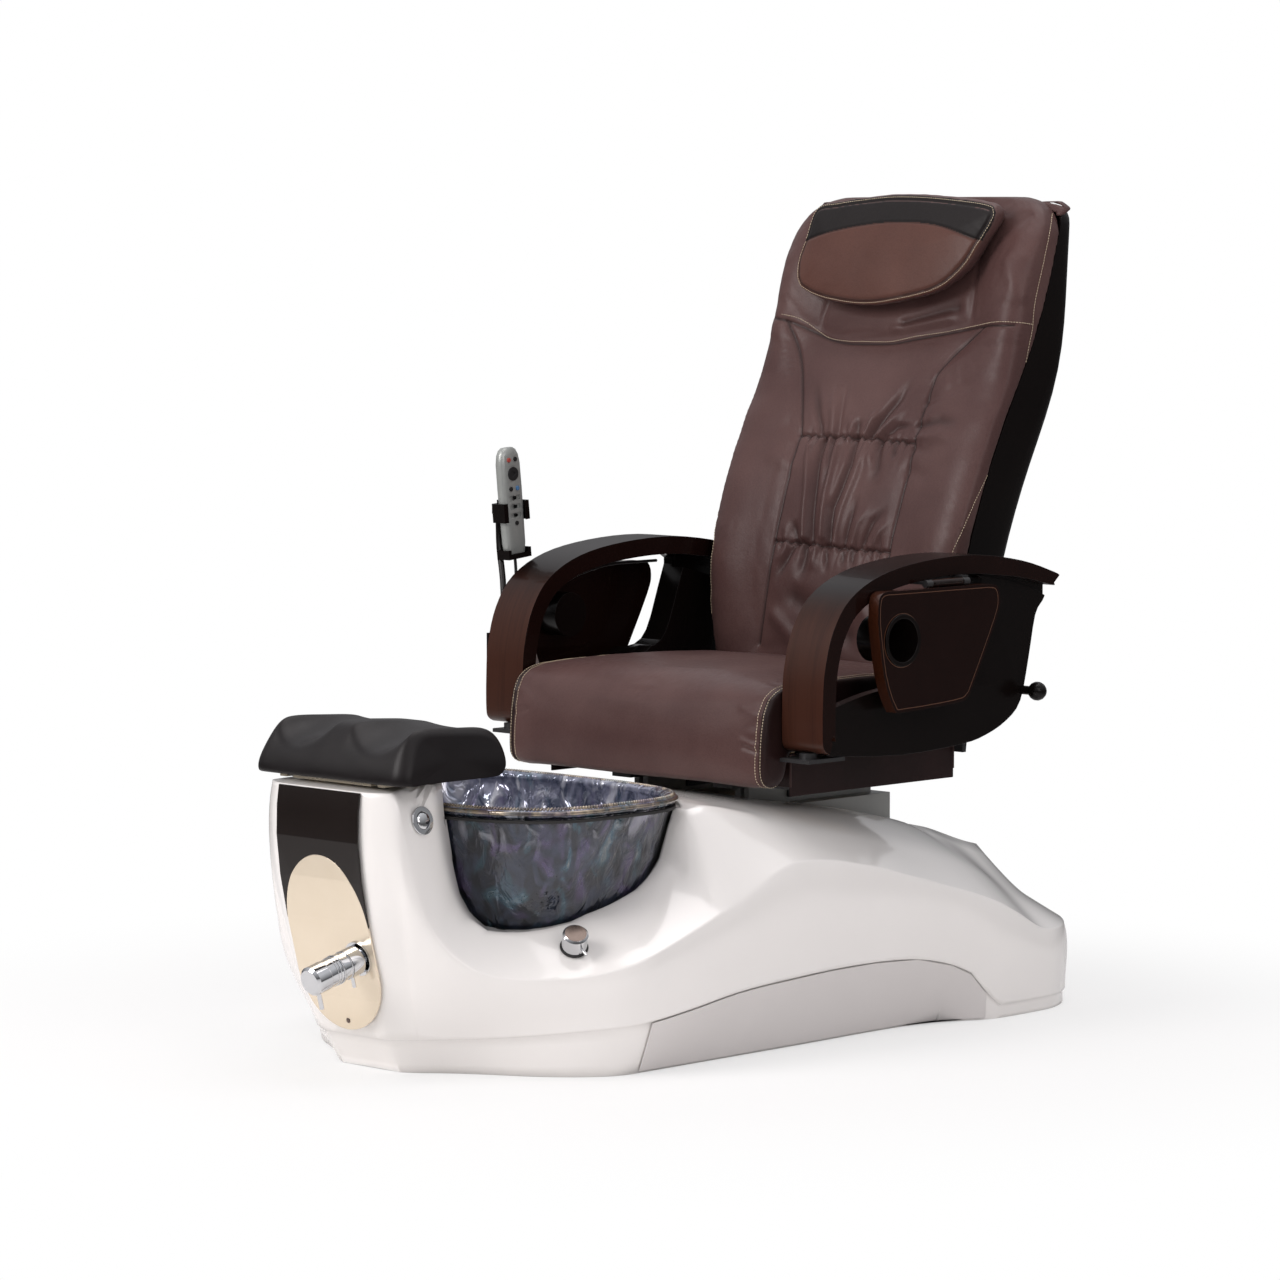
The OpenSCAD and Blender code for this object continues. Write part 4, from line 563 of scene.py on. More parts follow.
# The mixer valve's axis, and its raised rings as (place along it, radius, thickness) in millimetres
VALVE_AT = Vector((0.054, -0.63991, 0.176))
VALVE_TURN = Euler((math.radians(104.6), 0, 0)).to_matrix()
for i, (along, radius, thick) in enumerate(((31.5, 21.3, 1.6), (48.5, 21.8, 1.8), (54.5, 21.4, 1.4),
                                            (60.0, 21.2, 1.2), (73.6, 21.4, 1.4))):
    at = VALVE_AT + VALVE_TURN @ Vector((0, 0, along * MM))
    wire(f"valve_hoop_{i}", [at + VALVE_TURN @ Vector((radius * MM * math.cos(a), radius * MM * math.sin(a), 0))
                             for a in angles(48)], thick * MM, "base", chrome, closed=True)
dress_each(("valve_ring", chrome, "chrome", 0.8), ("button_bezel", chrome, "chrome", 1),
           ("air_button", chrome, "chrome", 0.8), ("drain_knob_flange", rubber, "rubber", 0.8))
KNOB_AT = Vector((0.267, -0.4094, 0.1888))
KNOB_AXIS = Vector((0.5156, -0.39707, 0.75927))
KNOB_TURNED = math.radians(50)      # the way the knob's flats stand in the photo
bm = whole("drain_knob")
bmesh.ops.rotate(bm, verts=bm.verts, cent=KNOB_AT, matrix=Matrix.Rotation(KNOB_TURNED, 3, KNOB_AXIS))
bm.normal_update()
# The knob's end face takes the chrome darkened as a painted dark reflection
for face in bm.faces:
    on_end = face.normal.dot(KNOB_AXIS) > 0.99 and (face.calc_center_median() - KNOB_AT).length > 0.02
    face.material_index = int(on_end)
round_edges(show(bm, "drain_knob_form", "knob", [chrome, chrome_dark_reflection], ["drain_knob"]), 0.8 * MM)
dress_each(("footrest_rails", zinc, "zinc", 0.5), ("footrest_sled", champagne_trim, "plate_champagne", 0.5))

# The footrest's profile over a ridge or an end, and down the middle of a heel scoop, as (y, z) in millimetres from
# its front edge
lip = ((20, 0), (9, -2), (3, -1.8))
rear_foot = ((218, 40), (220, 20), (217, 8), (205, 1), (195, 0))
over_ridge = (*lip, (0, 3), (1, 14), (8, 32), (19, 53), (30, 69), (41, 77.5), (55, 81), (85, 80.5), (115, 78.5),
              (145, 76.5), (172, 74.5), (195, 70), (210, 58), *rear_foot)
in_scoop = (*lip, (0, 2), (1, 11), (4, 22), (9, 33), (17, 41), (30, 45), (48, 48), (72, 52.5), (100, 58), (130, 64.5),
            (160, 69), (190, 67.5), (208, 57), *rear_foot)
SCOOP_X = 86 * MM
SCOOP_HALF = 66 * MM
FOOT_END = 26 * MM         # length over which each end is rounded off
FOOT_LEAN = 13 * MM        # the ends lean in by this much at the top


def mould_footrest():
    """The footrest: two heel scoops that open forwards, a ridge between them and a block at each end."""
    low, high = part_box("footrest_pad")
    half = high[0]
    rings = []
    for i in range(81):
        x = half * math.sin(math.pi / 2 * (i / 40 - 1)) * 0.999
        scooped = max(0.0, 1 - ((abs(x) - SCOOP_X) / SCOOP_HALF) ** 2)
        t = max(0.0, (abs(x) - half + FOOT_END) / FOOT_END)
        inset = FOOT_END * (1 - math.sqrt(1 - t * t)) * 0.9
        leaning = min(1, max(0, (abs(x) - 0.10) / 0.06))
        ring = []
        for (ya, za), (yb, zb) in zip(over_ridge, in_scoop):
            y = (ya + (yb - ya) * scooped) * MM
            z = (za + (zb - za) * scooped) * MM
            tall = max(0.0, min(1.0, (z - 0.018) / 0.06))
            rear = min(1.0, max(0.0, y / 0.22))
            ring.append(Vector((x - math.copysign(FOOT_LEAN * tall * leaning, x),
                                low[1] + y + inset * (1 - 1.7 * rear), low[2] + z - inset * tall * 0.8)))
        rings.append(ring)
    subdivide(show(stretch(rings), "footrest_pad_form", "footrest", pu_foam, ["footrest_pad"], 60), 2)


mould_footrest()
dress_each(("seat_plinth", powder_grey, "plinth", 2), ("seat_frame", powder_black, "black_metal", 1),
           ("seat_board", plywood, "board", 0.6), ("recline_motor", powder_black, "motor", 1.5),
           ("back_frame", zinc, "zinc", 0.8))
soften("back_shell", abs_black, 45, 0.6, levels=1, join=30)
dress_each(("massage_carriage", abs_black, "motor", 1.5), ("rollers_upper", abs_grey, "grille", 4),
           ("rollers_lower", abs_grey, "grille", 4))
# Opening in each side shell behind the tray, as (y, z)
shell_gap = ((286, 551), (318, 550), (338, 553), (354, 561), (366, 575), (377, 598), (394, 645), (408, 682),
             (408, 692), (396, 699), (372, 708), (340, 690), (300, 620))


def slab(outline, x0, x1):
    """A flat (y, z) outline in millimetres, made solid from x0 to x1."""
    bm = bmesh.new()
    face = bm.faces.new([bm.verts.new((x0, y * MM, z * MM)) for y, z in outline])
    walls = bmesh.ops.extrude_face_region(bm, geom=[face])
    moved = [item for item in walls["geom"] if isinstance(item, bmesh.types.BMVert)]
    bmesh.ops.translate(bm, verts=moved, vec=(x1 - x0, 0, 0))
    bmesh.ops.recalc_face_normals(bm, faces=bm.faces)
    return bm


def cut_shell(side):
    piece = dress("side_shell_" + side, abs_black)
    cutter = placed(slab(shell_gap, OUTER[side] * 0.290, OUTER[side] * 0.355), "shell_gap")
    opening = piece.modifiers.new("opening", "BOOLEAN")
    opening.object = cutter
    opening.operation = "DIFFERENCE"
    opening.solver = "EXACT"
    bake(piece)
    bpy.data.objects.remove(cutter)
    round_edges(piece, 5 * MM, 40, 4)


def web_under_tail(side):
    """The black web that closes the gap between a side shell's top edge and the arm's tail."""
    arm_skin = skin(merged("arm_" + side))
    lower, upper = [], []
    for y in range(410, 566, 6):
        z = float(np.interp(y, (400, 470, 540, 562), (697, 685.5, 667, 659)))
        hit = arm_skin.ray_cast(Vector((OUTER[side] * 0.330, y * MM, (z - 12) * MM)), Vector((0, 0, 1)), 0.08)
        if hit[0] is not None:
            lower.append((y, z - 8))
            upper.append((y, hit[0].z / MM + 1.5))
    bm = slab(lower + upper[::-1], OUTER[side] * 0.322, OUTER[side] * 0.343)
    round_edges(show(bm, "tail_web_" + side, side + "_arm", abs_black), 1 * MM)


def tray_with_highlights(side):
    """A tray with a painted amber highlight on its edge and a line of painted highlight let into its outer face."""
    tray = dress("tray_" + side, [espresso_tray, groove_highlight, painted_edge_highlight])
    bm = bmesh.new()
    bm.from_mesh(tray.data)
    # Faces that look sideways get the painted edge highlight
    for face in bm.faces:
        if abs(face.normal.x) < 0.5:
            face.material_index = 2
    shown = [face for face in bm.faces if face.normal.x * OUTER[side] > 0.9]
    bmesh.ops.inset_region(bm, faces=shown, thickness=4.5 * MM, use_even_offset=True, use_boundary=True)
    ring = bmesh.ops.inset_region(bm, faces=shown, thickness=1.3 * MM, use_even_offset=True, use_boundary=True)
    # The thin ring gets the painted highlight of a routed line
    for face in ring["faces"]:
        face.material_index = 1
    bm.to_mesh(tray.data)
    bm.free()
    round_edges(tray, 2.2 * MM, 40)


for side in OUTER:
    arm = dress("arm_" + side, [espresso, espresso_tray], 5 * MM, 40, 4)
    for face in arm.data.polygons:
        face.material_index = int(abs(face.normal.x) > 0.7)
    web_under_tail(side)
    cut_shell(side)
    dress("tray_bracket_" + side, powder_black, 0.8 * MM)
    tray_with_highlights(side)
    dress_each(("cup_" + side, abs_black, "black_shell", 0.8), ("lock_knob_" + side, abs_black, "black_shell", 0.8))
dress_each(("remote_holder", abs_black, "black_shell", 1), ("remote", silver_paint, "remote_grey", 0.5),
           ("key_power", key_red, "key_red", 0.3), ("key_mode", key_black, "key_black", 0.3),
           ("key_pad", key_black, "key_black", 0.3), ("key_back", key_black, "key_black", 0.3),
           ("key_seat", key_blue, "key_blue", 0.3), ("key_stop", key_black, "key_black", 0.3))

# The lower keys are pairs of small round caps
for node in ("key_air", "key_roll", "key_heat"):
    wide = merged(node)
    corners = [vert.co.copy() for vert in wide.verts]
    centre = sum(corners, Vector()) / len(corners)
    up = max(wide.faces, key=lambda face: face.calc_area()).normal.copy()
    if up.y > 0:
        up.negate()
    wide.free()
    reach = max(corners, key=lambda corner: abs((corner - centre).dot(Vector((1, 0, 0)))))
    across = Vector((1, 0, 0)) - up * up.x
    across.normalize()
    half = abs((reach - centre).dot(across))
    bm = bmesh.new()
    turn = up.to_track_quat("Z", "Y").to_matrix().to_4x4()
    for way in (-1, 1):
        bmesh.ops.create_cone(bm, cap_ends=True, segments=20, radius1=3.1 * MM, radius2=2.7 * MM, depth=3.4 * MM,
                              matrix=Matrix.Translation(centre + across * way * half * 0.58) @ turn)
    round_edges(show(bm, node + "_caps", BODY_OF[node], key_black, [node]), 0.5 * MM)

# ---- upholstery -----------------------------------------------------------


PRESSURE = 4.0         # blows a cover out
BLOWN = 20             # frames that the cloth is given to come to rest


def pad_of(bm, name, voxel):
    """A padded piece's body, remeshed even so that it can be blown out and sewn."""
    piece = placed(bm, name)
    remesh = piece.modifiers.new("even", "REMESH")
    remesh.mode = "VOXEL"
    remesh.voxel_size = voxel
    bake(piece)
    return piece


def per_point(piece, what):
    """Each point's place, "co", or outward direction, "normal"."""
    values = np.empty(len(piece.data.vertices) * 3)
    piece.data.vertices.foreach_get(what, values)
    return values.reshape(-1, 3)


def put(piece, places):
    piece.data.vertices.foreach_set("co", places.ravel())
    piece.data.update()


def blow(piece, held, cap):
    """Blows a sewn cover out by air pressure. held is 1 where a point is sewn down; no point moves over cap."""
    rest = per_point(piece, "co")
    group = piece.vertex_groups.new(name="held")
    for i, weight in enumerate(held):
        group.add([i], float(weight), "REPLACE")
    cover = piece.modifiers.new("cover", "CLOTH")
    cover.settings.vertex_group_mass = "held"
    cover.settings.use_pressure = True
    cover.settings.uniform_pressure_force = PRESSURE
    cover.settings.effector_weights.gravity = 0.0
    cover.point_cache.frame_start = 1
    cover.point_cache.frame_end = BLOWN
    for moment in range(1, BLOWN + 1):
        scene.frame_set(moment)
    depsgraph = bpy.context.evaluated_depsgraph_get()
    move = per_point(piece.evaluated_get(depsgraph), "co") - rest
    size = np.linalg.norm(move, axis=1, keepdims=True)
    move *= np.minimum(1.0, cap / np.maximum(size, 1e-9))
    piece.modifiers.clear()
    piece.vertex_groups.clear()
    put(piece, rest + move)
    scene.frame_set(1)


def finer(piece):
    subdivide(piece, 1)
    bake(piece)


def smoothed(piece, times):
    smooth = piece.modifiers.new("smooth", "SMOOTH")
    smooth.factor = 0.5
    smooth.iterations = times
    bake(piece)


def distance_to(line, x, z):
    """Distance in the (x, z) plane from many points to an open line, and how far along it each falls."""
    best = np.full(len(x), 1e9)
    along = np.zeros(len(x))
    done = 0.0
    for (ax, az), (bx, bz) in zip(line, line[1:]):
        dx, dz = bx - ax, bz - az
        span = math.hypot(dx, dz)
        t = np.clip(((x - ax) * dx + (z - az) * dz) / span ** 2, 0, 1)
        d = np.hypot(x - ax - t * dx, z - az - t * dz)
        near = d < best
        best = np.where(near, d, best)
        along = np.where(near, done + t * span, along)
        done += span
    return best, along


def flat_run(corners, steps=6):
    """A smooth line through (x, z) corners given in millimetres, in metres."""
    return [(p.x, p.z) for p in bend([(x * MM, 0, z * MM) for x, z in corners], steps)]


def noise_at(places, scale, seed):
    shift = Vector((seed * 3.1, seed * 1.7, seed * 2.3))
    return np.array([noise.noise(Vector(p) / scale + shift) for p in places])


def upholster(piece, body, materials, node):
    for material in materials:
        piece.data.materials.append(material)
    piece.data.shade_smooth()
    declare(piece, body, [node])


# Seams of the backrest's cover, as (x, z) in millimetres on its front face
yoke = flat_run([(-262, 1087), (-227, 1084), (-199, 1075), (-167, 1063), (-135, 1053), (-95, 1048), (-45, 1048),
                 (5, 1050), (55, 1058), (110, 1067), (190, 1080), (262, 1083)])
seam_left = flat_run([(-224, 1083), (-190, 1034), (-161, 978), (-138, 932), (-127, 900), (-124, 826), (-123, 752),
                      (-124, 690), (-130, 620), (-138, 560)])
seam_right = flat_run([(190, 1079), (146, 1040), (122, 998), (119, 967), (121, 935), (125, 904), (130, 838),
                       (129, 779), (127, 724), (131, 650), (138, 560)])
gather_high = flat_run([(-126, 899), (-60, 899), (0, 899), (65, 896), (125, 894)])
gather_low = flat_run([(-124, 728), (-67, 727), (4, 724), (70, 722), (127, 722)])


def bell(distance, width):
    """1 at no distance, falling off smoothly over width."""
    return np.exp(-(distance / width) ** 2)


def groove(distance, width, depth):
    return -depth * bell(distance, width)


def step(value, low, high):
    """0 below low, 1 above high and smooth between."""
    t = np.clip((value - low) / (high - low), 0, 1)
    return t * t * (3 - 2 * t)


def paint_seam_shade(piece, depth):
    """Keeps how deep each point lies in a sewn line or fold, as painted shade for the cover's material."""
    layer = piece.data.attributes.new("crease", "FLOAT", "POINT")
    layer.data.foreach_set("value", np.clip(depth, 0, 1).astype(np.float32))


def skin_of(piece):
    bm = bmesh.new()
    bm.from_mesh(piece.data)
    return skin(bm)


def lay(tree, starts, towards):
    """Where lines sent from many points towards a direction meet a cover, as (place, outward direction)."""
    way = Vector(towards).normalized()
    found = [tree.ray_cast(Vector(start) - way * 0.5, way) for start in starts]
    return [(hit[0], hit[1]) for hit in found if hit[0] is not None]


STITCH_PITCH = 4.6 * MM
STITCH_LENGTH = 3.5 * MM
JUMP = 30 * MM         # a row isn't sewn across a wider gap than this


def sew(name, line, body, thick=1.15 * MM):
    """A row of stitches along a line of (place, outward direction)."""
    bm = bmesh.new()
    left = STITCH_PITCH / 2
    for (a, up), (b, _) in zip(line, line[1:]):
        span = (b - a).length
        if span < 1e-6 or span > JUMP:
            continue
        along = (b - a) / span
        side = up.cross(along).normalized()
        rise = along.cross(side)
        while left < span:
            spot = a + along * left + rise * thick * 0.35
            turn = Matrix((side * thick / 2, rise * thick / 2, along * STITCH_LENGTH / 2)).transposed().to_4x4()
            bmesh.ops.create_uvsphere(bm, u_segments=6, v_segments=4, radius=1.0,
                                      matrix=Matrix.Translation(spot) @ turn)
            left += STITCH_PITCH
        left -= span
    return show(bm, name, body, thread, turn=180)


def even(line, gap):
    """An (x, z) line cut into even steps."""
    points = [Vector((a, b)) for a, b in line]
    out, left = [points[0]], gap
    for a, b in zip(points, points[1:]):
        span = (b - a).length
        while left <= span:
            out.append(a.lerp(b, left / span))
            left += gap
        left -= span
    return out


# Line where the backrest's front face stands on the middle, as (z, y)
lean = [(z * MM, y * MM) for z, y in (
    (480, 413), (542, 415), (640, 419), (724, 434), (810, 461), (898, 498), (990, 550), (1078, 597), (1180, 634),
    (1284, 664), (1300, 666))]
# How far the side bolsters stand forward, by height
wings = [(z * MM, out * MM) for z, out in (
    (560, 20), (735, 21), (800, 17), (865, 13), (962, 13), (995, 18), (1028, 28), (1060, 38), (1095, 45),
    (1128, 50), (1160, 52), (1190, 49), (1222, 38), (1254, 24), (1286, 8))]
SIDE_VIEW = (-0.697, 0.712, -0.085)    # slanting across the chair from its left front
SIDE_VIEW_FAR = (0.697, 0.712, -0.085)
BACK_TOP = 1286 * MM
BACK_T = 38 * MM
BACK_HW = 272 * MM
CORNER = 70 * MM
STITCH_STEP = 2 * MM   # distance between the points of a row of stitches


def read_off(line, at):
    """Height of a line of (at, height) corners."""
    return np.interp(at, *zip(*line))


def face_y(z):
    return read_off(lean, z)


def on_back(line, depth=0.0):
    """Starts for lay: points of an (x, z) line on the backrest's plane."""
    return [(p[0], float(face_y(p[1])) - depth, p[1]) for p in line]


def shape_back(piece):
    """Brings the side bolsters forward, widens the pad a little and rounds its top corners."""
    places = per_point(piece, "co")
    x, y, z = places.T
    behind = y - face_y(z)
    stand = read_off(wings, z)
    y = y - stand * step(np.abs(x), 142 * MM, 258 * MM) * (1 - step(behind, 4 * MM, BACK_T - 2 * MM))
    x = x * (1 + 0.03 * step(np.abs(x), 120 * MM, 250 * MM))
    above = np.clip(z - (BACK_TOP - CORNER), 0, CORNER)
    limit = BACK_HW - CORNER + np.sqrt(CORNER ** 2 - above ** 2)
    x = x * np.minimum(1, limit / BACK_HW)
    put(piece, np.stack([x, y, z], axis=1))


TUCKS = 14          # tucks along each gathered line
FOLD_DEPTH = 1.35
# Folds on the backrest: (x, z) points from the seam outwards, width at each end and height in millimetres, and
# whether it dies out at its far end
folds = (
    (((-71, 895), (-67, 860), (-57, 809), (-43, 729)), 8, 8, -6.0, 0),
    (((-5, 897), (2, 857), (-3, 820), (-11, 785), (-6, 728)), 8, 9, -6.0, 0),
    (((-95, 882), (-74, 812), (-60, 738)), 9, 7, 4.5, 0), (((-22, 740), (-31, 811), (-34, 884)), 8, 9, 4.2, 0),
    (((-52, 892), (-40, 850), (-36, 792)), 6, 6, -2.6, 1), (((8, 730), (12, 785), (22, 838), (24, 890)), 8, 9, 3.6, 0),
    (((53, 893), (64, 850), (62, 815)), 9, 14, -3.6, 1), (((84, 891), (92, 862)), 6, 9, -2.6, 1),
    (((36, 892), (40, 850)), 8, 12, 2.6, 1), (((28, 728), (34, 768), (42, 815)), 6, 10, -3.6, 1),
    (((47, 726), (54, 764), (74, 800)), 7, 11, 3.2, 1), (((66, 728), (82, 766), (110, 797)), 6, 11, -3.6, 1),
    (((88, 728), (104, 756), (122, 776)), 6, 9, 2.6, 1), (((-74, 729), (-90, 768)), 6, 11, -3.4, 1),
    (((-100, 729), (-106, 770)), 8, 11, 2.2, 1),
    (((-81, 903), (-109, 948), (-138, 992)), 7, 13, -3.4, 1), (((-56, 903), (-72, 948), (-84, 990)), 8, 13, 2.8, 1),
    (((-44, 903), (-52, 944), (-62, 1000)), 6, 9, -2.4, 1), (((-18, 902), (-20, 940)), 8, 14, 2.4, 1),
    (((-4, 900), (-8, 932)), 6, 10, -3.0, 1),
    (((26, 903), (48, 940), (64, 962), (80, 1002)), 8, 12, -5.6, 1), (((14, 903), (20, 926), (34, 950)), 7, 9, 3.6, 1),
    (((38, 902), (62, 926), (92, 956)), 7, 10, 3.8, 1), (((58, 902), (80, 919), (118, 922)), 6, 8, -3.2, 1),
    (((96, 898), (118, 904)), 6, 8, 2.2, 1),
    (((-57, 722), (-51, 705), (-54, 660)), 10, 16, -4.6, 1), (((-12, 727), (-4, 700), (2, 676)), 5, 7, -3.2, 1),
    (((-76, 725), (-92, 695), (-112, 655)), 7, 12, -3.8, 1), (((-92, 724), (-112, 690)), 7, 10, 2.6, 1),
    (((-30, 724), (-30, 680)), 9, 14, 3.0, 1), (((26, 722), (34, 690)), 6, 9, -2.6, 1),
    (((46, 722), (54, 690)), 5, 8, -2.6, 1), (((80, 721), (92, 692)), 6, 9, -2.4, 1),
    (((120, 921), (164, 930), (215, 926)), 7, 14, -2.8, 1), (((124, 903), (176, 907), (225, 898)), 8, 14, 2.4, 1),
    (((128, 885), (182, 880)), 8, 14, -1.8, 1), (((122, 960), (180, 985), (240, 984)), 10, 16, -2.4, 1),
    (((124, 1000), (200, 1040)), 14, 18, 2.4, 1), (((130, 850), (190, 838)), 12, 18, -1.6, 1),
    (((-128, 898), (-180, 925)), 9, 18, -1.8, 1), (((-126, 850), (-190, 872)), 14, 20, 1.6, 1),
    (((20, 1082), (125, 1108)), 10, 14, -3.0, 0), (((0, 1072), (110, 1092)), 8, 12, 2.4, 0),
    (((-60, 640), (60, 585)), 24, 24, -4.0, 0), (((-105, 610), (-40, 560)), 16, 18, 3.5, 0),
    (((60, 660), (110, 600)), 13, 16, 2.6, 0), (((230, 1180), (262, 1130)), 16, 18, 2.5, 0),
)


def sew_back():
    """The backrest's cushion: three tall panels under a yoke, drawn in by two gathered lines."""
    piece = pad_of(merged("back_cushion"), "back_cushion_cover", 5 * MM)
    shape_back(piece)
    smoothed(piece, 4)
    places = per_point(piece, "co")
    x, z = places[:, 0], places[:, 2]
    facing = per_point(piece, "normal")[:, 1]
    held = np.ones(len(places))
    sewn = (yoke, seam_left, seam_right, gather_high, gather_low)
    near = np.min([distance_to(line, x, z)[0] for line in sewn], axis=0)
    held[(facing < -0.4) & (near > 9 * MM)] = 0.0
    blow(piece, held, 9 * MM)
    finer(piece)
    places = per_point(piece, "co")
    facing = per_point(piece, "normal")
    x, z = places[:, 0], places[:, 2]
    front = step(-facing[:, 1], 0.15, 0.6)
    lift = np.zeros(len(places))
    # Shade is painted into the seams, the gathers' pleats and the deep folds' valleys
    painted_shade = np.zeros(len(places))
    for line, depth in ((yoke, 2.0 * MM), (seam_left, 3.0 * MM), (seam_right, 3.0 * MM)):
        distance, _ = distance_to(line, x, z)
        lift += groove(distance, 3 * MM, depth) + groove(distance, 16 * MM, 2.0 * MM)
        painted_shade = np.maximum(painted_shade, 0.85 * bell(distance, 1.9 * MM))
    wobble = noise_at(places * [1, 0.2, 0.25], 0.05, 1)
    for line in (gather_high, gather_low):
        _, along = distance_to(line, x, z)
        span = run_length([Vector((a, 0, b)) for a, b in line])
        within = step(np.minimum(x - line[0][0], line[-1][0] - x), 2 * MM, 24 * MM)
        on = (x > line[0][0]) & (x < line[-1][0])
        pleat = np.abs(np.sin(math.pi * (TUCKS * along / span + 0.6 * wobble)))
        middle = read_off(line, x) + within * (pleat - 0.5) * 4.0 * MM
        away = np.abs(z - middle)
        reach = (7 + 16 * np.abs(noise_at(places * [1, 0, 0.05], 0.03, 5))) * MM
        fade = np.exp(-away / reach)
        lift += within * fade * (pleat - 0.55) * 6.5 * MM
        lift += on * groove(away, 3.0 * MM, 4.4 * MM) + within * groove(away, 24 * MM, 3.2 * MM)
        painted_shade = np.maximum(painted_shade, on * 0.75 * bell(away, 1.4 * MM))
        painted_shade = np.maximum(painted_shade, within * fade * 0.5 * np.clip(1 - pleat * 2.6, 0, 1))
    for points, width, wider, height, fades in folds:
        line = [(a * MM, b * MM) for a, b in points]
        distance, along = distance_to(line, x, z)
        part = along / sum(math.hypot(c - a, d - b) for (a, b), (c, d) in zip(line, line[1:]))
        breadth = (width + (wider - width) * part) * MM
        tall = FOLD_DEPTH * height * MM * (1 - fades * step(part, 0.45, 1.0))
        near = (distance / breadth) ** 2
        lift += tall * (1 - 0.45 * near) * np.exp(-near)
        if height < -2.5:
            painted_shade = np.maximum(painted_shade, 0.30 * (tall / (height * MM)) * np.exp(-3 * near))
    lift += 1.2 * MM * noise_at(places, 0.07, 3)
    put(piece, places + facing * (lift * front)[:, None])
    upholster(piece, "back", [leather], "back_cushion")
    paint_seam_shade(piece, painted_shade * front)
    return skin_of(piece)


back_skin = sew_back()

# Cream rows on the backrest: above the yoke's seam, and down each side where the cover turns back
yoke_stitches = [(x, z + 3.0 * MM) for x, z in flat_run([
    (-262, 1087), (-227, 1083), (-199, 1075), (-167, 1063), (-135, 1052), (-95, 1048), (-60, 1048), (0, 1049),
    (50, 1058), (109, 1066), (191, 1080), (246, 1082), (286, 1082)])]
edge_stitches = flat_run([(279, 1262), (279, 1222), (278, 1186), (280, 1119), (288, 1082), (296, 1045), (307, 999),
                          (313, 937), (301, 856), (277, 774), (262, 728), (256, 690), (252, 600)])
for name, line, towards in (
        ("yoke_stitches", yoke_stitches, SIDE_VIEW), ("edge_stitches_left", edge_stitches, SIDE_VIEW),
        ("edge_stitches_right", [(-x, z) for x, z in edge_stitches], SIDE_VIEW_FAR)):
    sew(name, lay(back_skin, on_back(even(line, STITCH_STEP)), towards), "back")


def drawn_in(ring, cut):
    """A closed (a, b) outline moved inwards by cut."""
    count = len(ring)
    turn = sum(ring[i][0] * ring[(i + 1) % count][1] - ring[(i + 1) % count][0] * ring[i][1] for i in range(count))
    out = []
    for i in range(count):
        along = (Vector(ring[(i + 1) % count]) - Vector(ring[i - 1])).normalized()
        inward = Vector((-along.y, along.x)) * (1 if turn > 0 else -1)
        out.append(Vector(ring[i]) + inward * cut)
    return out


SEAT_HW = 279 * MM
SEAT_SEAM = 266.5 * MM
# The seat cushion's outline from the side, as (y, z), from its rear lower corner
seat_side = [(y * MM, z * MM) for y, z in (
    (400, 440), (406, 452), (406, 500), (400, 528), (382, 542), (300, 547), (200, 549), (100, 548), (46, 545),
    (20, 539), (1, 527), (-10, 507), (-15, 480), (-18, 450), (-19, 420), (-16, 402), (-8, 392), (6, 388), (22, 391),
    (34, 403), (40, 424), (44, 440), (160, 440), (280, 440))]


